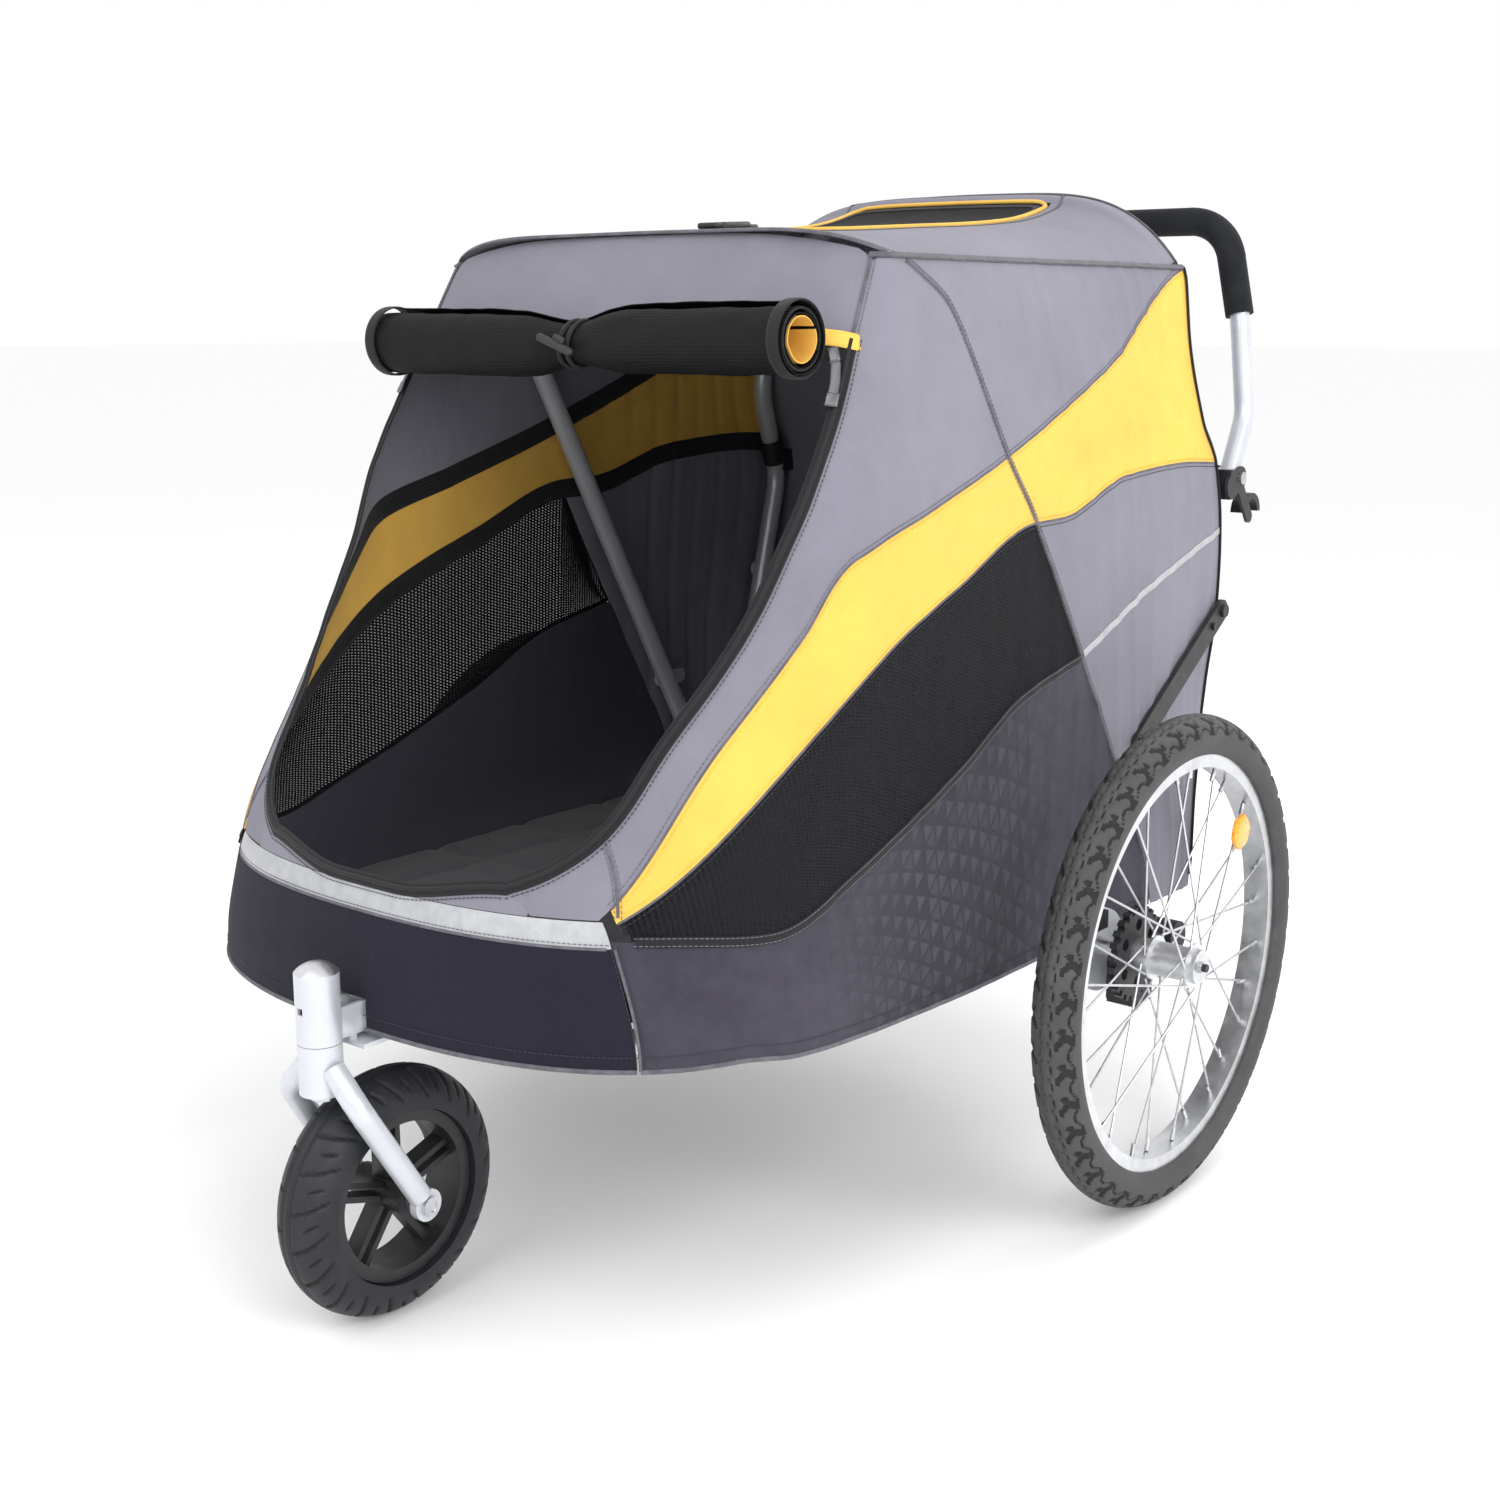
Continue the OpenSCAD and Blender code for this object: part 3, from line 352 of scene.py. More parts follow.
def grid_uv(outer):
    """UVs in metres from the grid's own lengths."""
    rows, cols = outer.shape[:2]
    step_u = np.linalg.norm(np.diff(outer, axis=0), axis=-1).mean(1) * MM
    step_v = np.linalg.norm(np.diff(outer, axis=1), axis=-1).mean(0) * MM
    u = np.concatenate([[0], np.cumsum(step_u)])
    v = np.concatenate([[0], np.cumsum(step_v)])
    return np.stack(np.meshgrid(u, v, indexing="ij"), -1).reshape(rows * cols, 2)


def cloth_sheet(name, outer, normals, materials, thick=CLOTH, side=1, uv=None):
    """A closed thin sheet from a grid of outer points; side -1 mirrors it to the right."""
    rows, cols = outer.shape[:2]
    n = rows * cols
    inner = outer - normals * thick
    points = np.concatenate([outer.reshape(-1, 3), inner.reshape(-1, 3)])
    points[:, 0] *= side
    a, b, c = outer[0, 0], outer[0, 1], outer[1, 0]
    facing = np.dot(np.cross(b - a, c - a), normals[0, 0]) > 0
    flip = facing != (side > 0)
    faces = quads(rows, cols, 0, flip) + quads(rows, cols, n, not flip)
    rim = grid_rim(rows, cols)
    for k, a in enumerate(rim):
        b = rim[(k + 1) % len(rim)]
        face = [a, n + a, n + b, b]
        faces.append(face if not flip else face[::-1])
    uv = grid_uv(outer) if uv is None else uv
    inner_at = (rows - 1) * (cols - 1)
    index = [0] * inner_at + [len(materials) - 1] * inner_at + [0] * len(rim)
    piece = build(name, world(points), faces, np.concatenate([uv, uv]), materials, index)
    width = round(float(np.linalg.norm(np.diff(outer, axis=0), axis=-1).sum(0).mean()) * MM, 3)
    length = round(float(np.linalg.norm(np.diff(outer, axis=1), axis=-1).sum(1).mean()) * MM, 3)
    piece["flat_size"] = [width, length]
    return piece


class Bag:
    """Collects many small solids of one material into one piece."""

    def __init__(self):
        self.points, self.faces, self.uv, self.count = [], [], [], 0

    def add(self, points, faces, uv=None):
        points = np.asarray(points, float).reshape(-1, 3)
        self.faces += [[i + self.count for i in f] for f in faces]
        self.points.append(points)
        self.uv.append(np.zeros((len(points), 2)) if uv is None else uv)
        self.count += len(points)

    def both(self, maker, *args, **kwargs):
        """The same solid on both sides of the cabin."""
        for side in (1, -1):
            maker(self, *args, side=side, **kwargs)

    def piece(self, name, material, local=True):
        points = np.concatenate(self.points)
        points = world(points) if local else points * MM
        return build(name, points, self.faces, np.concatenate(self.uv), [material])


def length_along(path):
    return np.concatenate([[0], np.cumsum(np.linalg.norm(np.diff(path, axis=0), axis=1))])


def spaced(path, gap):
    """Points along a path at an even gap, with the length up to each."""
    path = np.asarray(path, float)
    run = length_along(path)
    count = max(2, int(round(run[-1] / gap)) + 1)
    at = np.linspace(0, run[-1], count)
    return np.stack([np.interp(at, run, path[:, k]) for k in range(3)], 1), at


def frames(path, normals):
    """Tangent, normal and side directions along a path."""
    t = np.gradient(path, axis=0)
    t /= np.linalg.norm(t, axis=1, keepdims=True) + 1e-9
    n = normals - (normals * t).sum(1, keepdims=True) * t
    n /= np.linalg.norm(n, axis=1, keepdims=True) + 1e-9
    return t, n, np.cross(t, n)


def strip(bag, path, normals, width, thick, side=1, sides=10, closed=False, lift=0.0):
    """A tape, cord or piping of rounded section that follows a path."""
    path, normals = np.asarray(path, float), np.asarray(normals, float)
    _, n, b = frames(path, normals)
    path = path + n * lift
    a = np.linspace(0, 2 * math.pi, sides, endpoint=False)
    power = 2 / (4 if width > 2 * thick else 2)
    ca = np.sign(np.cos(a)) * np.abs(np.cos(a)) ** power
    sa = np.sign(np.sin(a)) * np.abs(np.sin(a)) ** power
    ring = (
        path[:, None]
        + b[:, None] * (ca * width / 2)[None, :, None]
        + n[:, None] * (sa * thick / 2)[None, :, None]
    )
    count = len(path)
    ring[..., 0] *= side
    faces = ring_faces(count, sides, closed)
    if not closed:
        faces += [list(range(sides))[::-1], [(count - 1) * sides + j for j in range(sides)]]
    if side < 0:
        faces = [face[::-1] for face in faces]
    run = length_along(path) * MM
    across = np.abs(np.linspace(-1, 1, sides)) * width * MM
    uv = np.stack(np.meshgrid(run, across, indexing="ij"), -1).reshape(-1, 2)
    bag.add(ring.reshape(-1, 3), faces, uv)


STITCH = (2.9, 0.7, 0.5)
STITCH_GAP = 4.4


def stitches(bag, path, normals, side=1, shift=0.0, lift=0.25):
    """A row of thread stitches that lies beside a seam."""
    path, normals = np.asarray(path, float), np.asarray(normals, float)
    even, run = spaced(path, STITCH_GAP)
    old = length_along(path)
    n = np.stack([np.interp(run, old, normals[:, k]) for k in range(3)], 1)
    t, n, b = frames(even, n)
    centre = even + b * shift + n * lift
    length, width, height = STITCH
    for c, tt, nn, bb in zip(centre, t, n, b):
        corner = [
            c + tt * (sx * length / 2) + bb * (sy * width / 2) + nn * (sz * height / 2)
            for sz in (-1, 1)
            for sx, sy in ((-1, -1), (1, -1), (1, 1), (-1, 1))
        ]
        corner = np.array(corner)
        corner[:, 0] *= side
        faces = [[3, 2, 1, 0], [4, 5, 6, 7], [0, 1, 5, 4], [1, 2, 6, 5], [2, 3, 7, 6], [3, 0, 4, 7]]
        bag.add(corner, faces if side > 0 else [f[::-1] for f in faces])


def rounded_box(bag, centre, size, x_axis=(1, 0, 0), z_axis=(0, 0, 1), side=1, round_mm=2.0):
    """A block with rounded edges, turned to the given axes."""
    x = np.array(x_axis, float) / np.linalg.norm(x_axis)
    z = np.array(z_axis, float) - np.dot(z_axis, x) * x
    z /= np.linalg.norm(z)
    y = np.cross(z, x)
    half = np.array(size, float) / 2
    r = min(round_mm, half.min() * 0.98)
    steps = np.linspace(0, math.pi / 2, 4)
    levels = [(half[2] - r + r * math.sin(a), r - r * math.cos(a)) for a in steps]
    rings = [(-z_at, cut) for z_at, cut in levels[::-1]] + levels
    points = []
    for z_at, cut in rings:
        for sx, sy, start in ((1, 1, 0), (-1, 1, 1), (-1, -1, 2), (1, -1, 3)):
            for a in np.linspace(0, math.pi / 2, 4):
                turn = a + start * math.pi / 2
                px = sx * (half[0] - r) + (r - cut) * math.cos(turn)
                py = sy * (half[1] - r) + (r - cut) * math.sin(turn)
                points.append(np.array(centre) + x * px + y * py + z * z_at)
    points = np.array(points)
    points[:, 0] *= side
    n = 16
    faces = [list(range(n))[::-1], [(len(rings) - 1) * n + k for k in range(n)]]
    faces += ring_faces(len(rings), n)
    bag.add(points, faces if side > 0 else [f[::-1] for f in faces])


# ---- Materials --------------------------------------------------------------
class Shader:
    """A small helper around a material's node tree."""

    def __init__(self, name, colour, rough, metal=0.0, sheen=0.0, coat=0.0, specular=0.5):
        self.material = bpy.data.materials.new(name)
        self.material.use_nodes = True
        self.tree = self.material.node_tree
        self.main = self.tree.nodes["Principled BSDF"]
        self.colour = (*colour, 1)
        self.main.inputs["Base Color"].default_value = self.colour
        self.main.inputs["Roughness"].default_value = rough
        self.main.inputs["Metallic"].default_value = metal
        self.main.inputs["Specular IOR Level"].default_value = specular
        self.main.inputs["Sheen Weight"].default_value = sheen
        self.main.inputs["Sheen Roughness"].default_value = 0.45
        self.main.inputs["Coat Weight"].default_value = coat
        self.place = self.add("ShaderNodeTexCoord").outputs["Object"]
        self.uv = self.add("ShaderNodeTexCoord").outputs["UV"]

    def add(self, kind, inputs=None, **settings):
        node = self.tree.nodes.new(kind)
        for key, value in settings.items():
            setattr(node, key, value)
        for key, value in (inputs or {}).items():
            self.put(node.inputs[key], value)
        return node

    def put(self, socket, value):
        if isinstance(value, bpy.types.NodeSocket):
            self.tree.links.new(value, socket)
        else:
            socket.default_value = value

    def math(self, operation, a, b=0.0):
        node = self.add("ShaderNodeMath", operation=operation)
        self.put(node.inputs[0], a)
        self.put(node.inputs[1], b)
        return node.outputs[0]

    def times(self, a, b):
        return self.math("MULTIPLY", a, b)

    def plus(self, a, b):
        return self.math("ADD", a, b)

    def ramp(self, value, low, high, to_low=0.0, to_high=1.0):
        node = self.add("ShaderNodeMapRange", {"Value": value, "From Min": low, "From Max": high})
        node.inputs["To Min"].default_value = to_low
        node.inputs["To Max"].default_value = to_high
        return node.outputs[0]

    def noise(self, scale, detail=2.0, place=None, stretch=None, roughness=0.5):
        vector = place or self.place
        if stretch:
            mapping = self.add("ShaderNodeMapping", {"Vector": vector})
            mapping.inputs["Scale"].default_value = stretch
            vector = mapping.outputs[0]
        node = self.add("ShaderNodeTexNoise", {"Vector": vector, "Scale": scale, "Detail": detail})
        node.inputs["Roughness"].default_value = roughness
        return node.outputs["Fac"]

    def mix(self, share, a, b):
        node = self.add("ShaderNodeMix", data_type="RGBA")
        self.put(node.inputs["Factor"], share)
        self.put(node.inputs[6], a)
        self.put(node.inputs[7], b)
        return node.outputs[2]

    def shade(self, share, dark, light, base=None):
        """The colour, from dark to light times its own value as share goes 0 to 1."""
        base = base or self.colour
        low = tuple(min(1, c * dark) for c in base[:3]) + (1,)
        high = tuple(min(1, c * light) for c in base[:3]) + (1,)
        return self.mix(share, low, high)

    def bump(self, height, distance, strength=1.0, below=None):
        node = self.add("ShaderNodeBump", {"Height": height, "Strength": strength, "Distance": distance})
        if below is not None:
            self.tree.links.new(below, node.inputs["Normal"])
        return node.outputs[0]

    def finish(self, colour=None, normal=None, rough=None, alpha=None):
        pairs = (("Base Color", colour), ("Normal", normal), ("Roughness", rough), ("Alpha", alpha))
        for key, value in pairs:
            if value is not None:
                self.tree.links.new(value, self.main.inputs[key])
        return self.material


def split(shader, vector):
    node = shader.add("ShaderNodeSeparateXYZ", {"Vector": vector})
    return node.outputs[0], node.outputs[1]


def weave_of(shader, pitch):
    """Over and under threads, from 0 to 1."""
    u, v = split(shader, shader.uv)
    turns = 2 * math.pi / pitch
    a = shader.math("SINE", shader.times(u, turns))
    b = shader.math("SINE", shader.times(v, turns))
    return shader.ramp(shader.times(a, b), -1, 1)


def cloth_material(name, colour, pitch=0.0011, sheen=0.12, rough=0.9, crease=1.0, worn=1.12):
    s = Shader(name, colour, rough, sheen=sheen, specular=0.25)
    weave = weave_of(s, pitch)
    slub = s.noise(700, 2, s.uv, (1, 0.16, 1))
    cloud = s.noise(9, 4)
    fade = s.noise(42, 3, roughness=0.7)
    tone = s.plus(s.times(cloud, 0.5), s.times(fade, 0.3))
    tone = s.plus(tone, s.times(slub, 0.2))
    colour = s.shade(s.ramp(tone, 0.3, 0.7), 0.86, worn)
    colour = s.mix(s.times(weave, 0.12), colour, (0, 0, 0, 1))
    wrinkle = s.noise(26, 5, stretch=(1, 1, 0.45), roughness=0.55)
    normal = s.bump(wrinkle, 0.004 * crease, 0.35)
    normal = s.bump(slub, 0.0004, 0.4, normal)
    normal = s.bump(weave, 0.0005, 0.5, normal)
    return s.finish(colour, normal, s.ramp(fade, 0.3, 0.7, rough - 0.06, rough + 0.06))


def triangle_material(name, colour):
    """Charcoal cloth with a tone-on-tone print of triangles, fading to the front and the rear."""
    s = Shader(name, colour, 0.88, sheen=0.12, specular=0.25)
    u, v = split(s, s.uv)
    pitch = 0.0185
    width = 0.085
    lines = None
    cells = []
    for turn in (4, 64, 124):
        a = math.radians(turn)
        run = s.plus(s.times(u, math.cos(a) / pitch), s.times(v, math.sin(a) / pitch))
        near = s.math("PINGPONG", run, 0.5)
        line = s.ramp(near, width, width + 0.03, 1, 0)
        cells.append(s.math("FLOOR", run))
        lines = line if lines is None else s.math("MAXIMUM", lines, line)
    upright = s.math("SUBTRACT", cells[1], s.plus(cells[0], cells[2]))
    place = s.plus(s.times(cells[0], 7.3), cells[2])
    chance = s.math("FRACT", s.times(s.math("SINE", place), 437.5))
    filled = s.times(upright, s.ramp(chance, 0.25, 0.75, 0.35, 0.9))
    fade_in = s.ramp(u, 0.16, 0.34)
    fade_out = s.ramp(u, 0.48, 0.62, 1, 0)
    cover = s.times(fade_in, fade_out)
    print_share = s.times(s.math("MAXIMUM", s.times(lines, 0.9), filled), cover)
    weave = weave_of(s, 0.0011)
    cloud = s.noise(10, 4)
    fade = s.noise(40, 3, roughness=0.7)
    tone = s.ramp(s.plus(cloud, fade), 0.75, 1.25)
    ink = (0.012, 0.010, 0.018, 1)
    colour = s.mix(s.times(print_share, 0.85), s.shade(tone, 0.88, 1.25), ink)
    colour = s.mix(s.times(weave, 0.12), colour, (0, 0, 0, 1))
    normal = s.bump(s.noise(26, 5, stretch=(1, 1, 0.45)), 0.004, 0.35)
    normal = s.bump(weave, 0.0005, 0.5, normal)
    return s.finish(colour, normal, s.ramp(print_share, 0, 1, 0.9, 0.7))


def screen_material(name, colour, pitch=0.0026, open_share=0.5, lean=0.55):
    """Open mesh: fine slanted threads with clear gaps between them."""
    s = Shader(name, colour, 0.7, specular=0.2)
    u, v = split(s, s.uv)
    turns = 2 * math.pi / pitch
    slant = s.plus(s.times(u, turns * lean), s.times(v, turns))
    cross = s.times(u, turns * 0.5)
    rows = s.ramp(s.math("SINE", slant), -1, 1)
    ties = s.ramp(s.math("SINE", cross), -1, 1)
    solid = s.math("MAXIMUM", rows, s.times(ties, 0.72))
    alpha = s.ramp(solid, open_share - 0.12, open_share + 0.12, 0.55, 1)
    tone = s.noise(18, 4)
    normal = s.bump(solid, 0.0006, 0.7)
    return s.finish(s.shade(tone, 0.8, 1.2), normal, None, alpha)


def webbing_material(name, colour, pitch=0.0016):
    s = Shader(name, colour, 0.72, sheen=0.1, specular=0.35)
    u, v = split(s, s.uv)
    turns = 2 * math.pi / pitch
    ribs = s.ramp(s.math("SINE", s.times(u, turns)), -1, 1)
    cords = s.ramp(s.math("SINE", s.times(v, turns * 0.8)), -1, 1)
    height = s.times(ribs, cords)
    dust = s.noise(90, 4, roughness=0.7)
    # Painted highlight: the raised ribs of the weave are painted lighter; the rest of the tone change is dust
    # noise.
    colour = s.shade(s.ramp(s.plus(dust, s.times(height, 0.3)), 0.4, 1.0), 0.7, 1.9)
    return s.finish(colour, s.bump(height, 0.0005, 0.7), s.ramp(dust, 0.3, 0.7, 0.62, 0.85))


def coated_metal(name, colour, rough=0.34, metal=0.35, coat=0.25):
    """Satin silver powder coat with orange peel and small scuffs."""
    s = Shader(name, colour, rough, metal, coat=coat)
    peel = s.noise(900, 2)
    cloud = s.noise(22, 4)
    scuff = s.ramp(s.noise(300, 5, stretch=(1, 1, 0.25), roughness=0.75), 0.62, 0.72)
    colour = s.mix(s.times(scuff, 0.25), s.shade(cloud, 0.9, 1.06), (0.2, 0.2, 0.21, 1))
    worn = s.times(scuff, 0.15)
    rough_by = s.plus(s.ramp(cloud, 0.3, 0.7, rough - 0.05, rough + 0.07), worn)
    return s.finish(colour, s.bump(peel, 0.00012, 0.5), rough_by)


def plain_metal(name, colour, rough, stretch=(1, 1, 1)):
    """Bare or plated metal with a fine drawn grain."""
    s = Shader(name, colour, rough, 1.0)
    grain = s.noise(650, 3, stretch=stretch, roughness=0.6)
    cloud = s.noise(35, 4, roughness=0.65)
    colour = s.shade(s.ramp(cloud, 0.3, 0.7), 0.78, 1.08)
    rough_by = s.ramp(s.plus(grain, cloud), 0.6, 1.4, rough - 0.1, rough + 0.14)
    return s.finish(colour, s.bump(grain, 0.00008, 0.6), rough_by)


def rubber_material(name, colour, rough=0.72, dusty=(0.16, 0.155, 0.15)):
    s = Shader(name, colour, rough, specular=0.35)
    fine = s.noise(1100, 3, roughness=0.7)
    dust = s.ramp(s.noise(28, 6, roughness=0.72), 0.45, 0.75)
    colour = s.mix(s.times(dust, 0.35), s.shade(fine, 0.8, 1.2), (*dusty, 1))
    return s.finish(colour, s.bump(fine, 0.00025, 0.6), s.ramp(dust, 0, 1, rough - 0.1, rough + 0.16))


def plastic_material(name, colour, rough=0.45):
    """Moulded plastic with a spark-eroded grain and lighter handled spots."""
    s = Shader(name, colour, rough)
    grain = s.noise(1400, 2, roughness=0.6)
    cloud = s.noise(60, 4, roughness=0.7)
    colour = s.shade(s.ramp(cloud, 0.35, 0.75), 0.85, 1.7)
    return s.finish(colour, s.bump(grain, 0.00018, 0.6), s.ramp(cloud, 0.3, 0.7, rough - 0.08, rough + 0.12))


def foam_material(name, colour):
    s = Shader(name, colour, 0.95, sheen=0.05, specular=0.15)
    cells = s.add("ShaderNodeTexVoronoi", {"Vector": s.place, "Scale": 620.0})
    cloud = s.noise(30, 4)
    colour = s.shade(s.ramp(cloud, 0.3, 0.7), 0.8, 1.35)
    return s.finish(colour, s.bump(cells.outputs["Distance"], 0.0006, 0.7))


def reflector_material(name, colour):
    """A clear orange lens over a prismatic back, with a faint painted glow and painted glints on the prism
    facets.
    """
    s = Shader(name, colour, 0.12, coat=0.6)
    # Painted glow: a faint orange emission, though the lens is no lamp.
    s.main.inputs["Emission Color"].default_value = (1.0, 0.25, 0.02, 1)
    s.main.inputs["Emission Strength"].default_value = 0.12
    cells = s.add("ShaderNodeTexVoronoi", {"Vector": s.place, "Scale": 260.0})
    prism_height_and_glint = s.ramp(cells.outputs["Distance"], 0.1, 0.7)
    # Painted glints: the lens colour goes lighter and darker across each prism facet; the same pattern also
    # drives the bump.
    colour = s.shade(prism_height_and_glint, 0.75, 1.15)
    return s.finish(colour, s.bump(prism_height_and_glint, 0.0006, 0.5))


def band_material(name, colour):
    """Reflective tape: satin silver with a fine honeycomb and handling marks."""
    s = Shader(name, colour, 0.42, 0.25, specular=0.5)
    cells = s.add("ShaderNodeTexVoronoi", {"Vector": s.uv, "Scale": 420.0})
    rub = s.noise(60, 5, roughness=0.7)
    colour = s.shade(s.ramp(rub, 0.3, 0.7), 0.85, 1.12)
    return s.finish(colour, s.bump(cells.outputs["Distance"], 0.0002, 0.5), s.ramp(rub, 0.3, 0.7, 0.36, 0.55))


GREY = (0.235, 0.228, 0.275)
YELLOW = (0.94, 0.545, 0.105)
CHARCOAL = (0.046, 0.042, 0.060)
NAVY = (0.014, 0.012, 0.024)

paint = {
    "grey": cloth_material("grey_cloth", GREY),
    "yellow": cloth_material("yellow_cloth", YELLOW, sheen=0.05),
    "charcoal": triangle_material("charcoal_print", CHARCOAL),
    "charcoal_plain": cloth_material("charcoal_cloth", CHARCOAL),
    "navy": cloth_material("navy_cloth", NAVY, sheen=0.05),
    "screen": screen_material("black_mesh", (0.006, 0.006, 0.008), open_share=0.36),
    "roll": screen_material("rolled_mesh", (0.006, 0.006, 0.007), pitch=0.0034, open_share=-0.2, lean=0.0),
    "webbing": webbing_material("black_webbing", (0.010, 0.010, 0.012)),
    "binding": webbing_material("black_binding", (0.007, 0.007, 0.009), 0.0011),
    "band": band_material("reflective_tape", (0.42, 0.43, 0.45)),
    "piping": cloth_material("yellow_piping", YELLOW, pitch=0.0007, crease=0.2),
    "mat": cloth_material("mat_cloth", (0.07, 0.07, 0.078), pitch=0.0016, crease=1.6),
    "thread_dark": webbing_material("dark_thread", (0.028, 0.026, 0.036), 0.0006),
    "thread_grey": webbing_material("grey_thread", (0.115, 0.11, 0.13), 0.0006),
    "thread_yellow": webbing_material("yellow_thread", (0.70, 0.42, 0.05), 0.0006),
    "silver": coated_metal("silver_coat", (0.60, 0.62, 0.66)),
    "alloy": plain_metal("satin_alloy", (0.72, 0.73, 0.75), 0.36),
    "steel": plain_metal("zinc_steel", (0.66, 0.67, 0.69), 0.3, (1, 1, 0.2)),
    "tyre": rubber_material("grey_rubber", (0.050, 0.050, 0.052)),
    "caster": rubber_material("caster_rubber", (0.014, 0.015, 0.019), 0.55, (0.06, 0.06, 0.065)),
    "plastic": plastic_material("black_plastic", (0.013, 0.013, 0.015)),
    "foam": foam_material("foam_grip", (0.016, 0.017, 0.020)),
    "orange": reflector_material("orange_lens", (1.0, 0.34, 0.015)),
    "groove": rubber_material("tread_groove", (0.014, 0.014, 0.015), 0.85, (0.05, 0.05, 0.05)),
    "pull": plain_metal("dark_zip_metal", (0.16, 0.16, 0.17), 0.35),
    "board": plastic_material("coated_board", (0.030, 0.030, 0.033), 0.62),
}

NODE_PAINT = {
    "silver": ["fork_crown", "fork_blades", "base_frame", "head_tube", "head_bracket", "axle_tube",
               "axle_plates", "front_hoop", "rear_hoop", "handlebar"],
    "alloy": ["head_cap", "rear_rim_left", "rear_rim_right", "rear_hub_left", "rear_hub_right",
              "axle_saddles"],
    "steel": ["spokes_left", "spokes_right", "hub_bearings_left", "hub_bearings_right", "front_axle",
              "head_bearings", "wheel_axles", "hoop_brackets", "hoop_pins", "handle_pins"],
    "plastic": ["brake_disc_left", "brake_disc_right", "release_button_left", "release_button_right",
                "brake_pedal_left", "brake_pedal_right", "brace_left", "brace_right",
                "front_wheel_core", "brake_housings", "handle_brackets"],
    "foam": ["handle_grip"],
    "board": ["floor_board"],
}


def paint_nodes():
    """Gives every CAD node that stays its material."""
    for key, nodes in NODE_PAINT.items():
        for name in nodes:
            slots = frame["nodes"][name].material_slots
            for one in slots:
                one.link = "OBJECT"
                one.material = paint[key]


def soft(piece, slot, *nodes, flat=None, held=None, rests_on=()):
    """A fabric piece: it is parented to the chassis, and the CAD nodes it replaces are hidden."""
    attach(piece, "chassis")
    if nodes:
        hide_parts(*nodes)
    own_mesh(piece)
    return piece


def side_grid(f0, f1, low, high, rows, cols, out=0.0, inset=0.6):
    f = np.linspace(f0, f1, rows)[:, None]
    v = np.linspace(0, 1, cols)[None, :]
    bottom, top = low(f) + inset, high(f) - inset
    h = bottom + (np.maximum(top, bottom + 0.4) - bottom) * v
    return side_spot(np.broadcast_to(f, h.shape), h, out)


def lower_head(f):
    return np.minimum(mesh_low(f), seam_h(f))


def mesh_head(f):
    return np.minimum(yellow_low(f), seam_h(f))


def rear_foot(f):
    return np.maximum(hem_rise(f), seam_h(f))


def upper_head(f):
    return np.where(f < WINDOW_END[0], window_edge(f), SIDE_TOP)


def upper_foot(f):
    return np.where(f < SEAM_FROM, BAND_TOP, yellow_top(f))


def yellow_foot(f):
    return np.where(f < SEAM_FROM, BAND_TOP, yellow_low(f))


SIDES = (("left", 1), ("right", -1))
GREY_HANG = ["front_hoop", "rear_hoop"]


def add_sides():
    for name, side in SIDES:
        def panel(label, grid, key, inside=None, thick=CLOTH):
            mats = [paint[key]] + ([paint[inside]] if inside else [])
            return cloth_sheet(f"{label}_{name}", *grid, mats, thick, side)

        lower = panel("lower_side", side_grid(SEAM_FROM, 0.915, hem_rise, lower_head, 150, 34),
                      "charcoal", "charcoal_plain")
        soft(lower, "cloth_charcoal", f"side_lower_{name}", held="stretched", rests_on=["base_frame"])
        window = side_grid(0.09, 0.734, mesh_low, mesh_head, 120, 30)
        screen = panel("mesh_window", window, "screen", thick=SCREEN)
        soft(screen, "mesh_black", f"side_mesh_{name}", held="stretched", rests_on=GREY_HANG)
        rear = panel("rear_side", side_grid(0.648, SIDE_END, rear_foot, yellow_low, 110, 60), "grey")
        soft(rear, "cloth_grey", f"side_rear_{name}", held="stretched", rests_on=GREY_HANG)
        yellow = panel("yellow_side", side_grid(0.085, SIDE_END, yellow_foot, yellow_top, 170, 34), "yellow")
        soft(yellow, "cloth_yellow", held="stretched", rests_on=GREY_HANG)
        upper = panel("upper_side", side_grid(0.05, SIDE_END, upper_foot, upper_head, 190, 60), "grey")
        soft(upper, "cloth_grey", f"side_upper_{name}", held="stretched", rests_on=GREY_HANG)


NOTCH_HALF = 17.5
NOTCH_TOP = 23.0


def front_columns(half, count):
    """Places across the front, closer together at the notch over the head bracket."""
    fine = np.array([-20, -18.5, -17, -12, 0, 12, 17, 18.5, 20])
    x = np.concatenate([np.linspace(-1, 1, count) * half, fine])
    return np.unique(np.round(x, 3))


def front_grid(low, high, rows, notch=False):
    """A grid across the front between two heights; its ends follow the side seam."""
    half_low = float(side_x(along(SEAM_FROM), np.array(100.0))) - 1
    columns = front_columns(half_low, 70) if notch else np.linspace(-half_low, half_low, 80)
    t = columns[:, None] / half_low
    v = np.linspace(0, 1, rows)[None, :]
    foot = np.full_like(t, low)
    if notch:
        foot = np.where(np.abs(columns[:, None]) < NOTCH_HALF, NOTCH_TOP, low)
    h = foot + (high - foot) * v
    half = side_x(along(SEAM_FROM), h) - 1
    return front_spot(t * half, h)


def add_front():
    skirt = cloth_sheet("front_skirt", *front_grid(-3, BAND_LOW - 0.6, 22, notch=True), [paint["navy"]])
    soft(skirt, "cloth_navy", "skirt_front", held="stretched", rests_on=["base_frame"])
    band = cloth_sheet("reflective_strip", *front_grid(BAND_LOW, BAND_TOP - 0.6, 6), [paint["band"]])
    soft(band, "band_reflective", "reflective_band", held="stretched", rests_on=[skirt])


def sill_h(x):
    """The top of the narrow grey strip under the window."""
    end = float(side_x(along(WINDOW_FROM), np.array(130.0))) - 2
    climb = smoothstep(0.25, 1, np.abs(x) / end) * (float(window_edge(WINDOW_FROM)) - BAND_TOP - 4)
    return BAND_TOP + 4 + climb


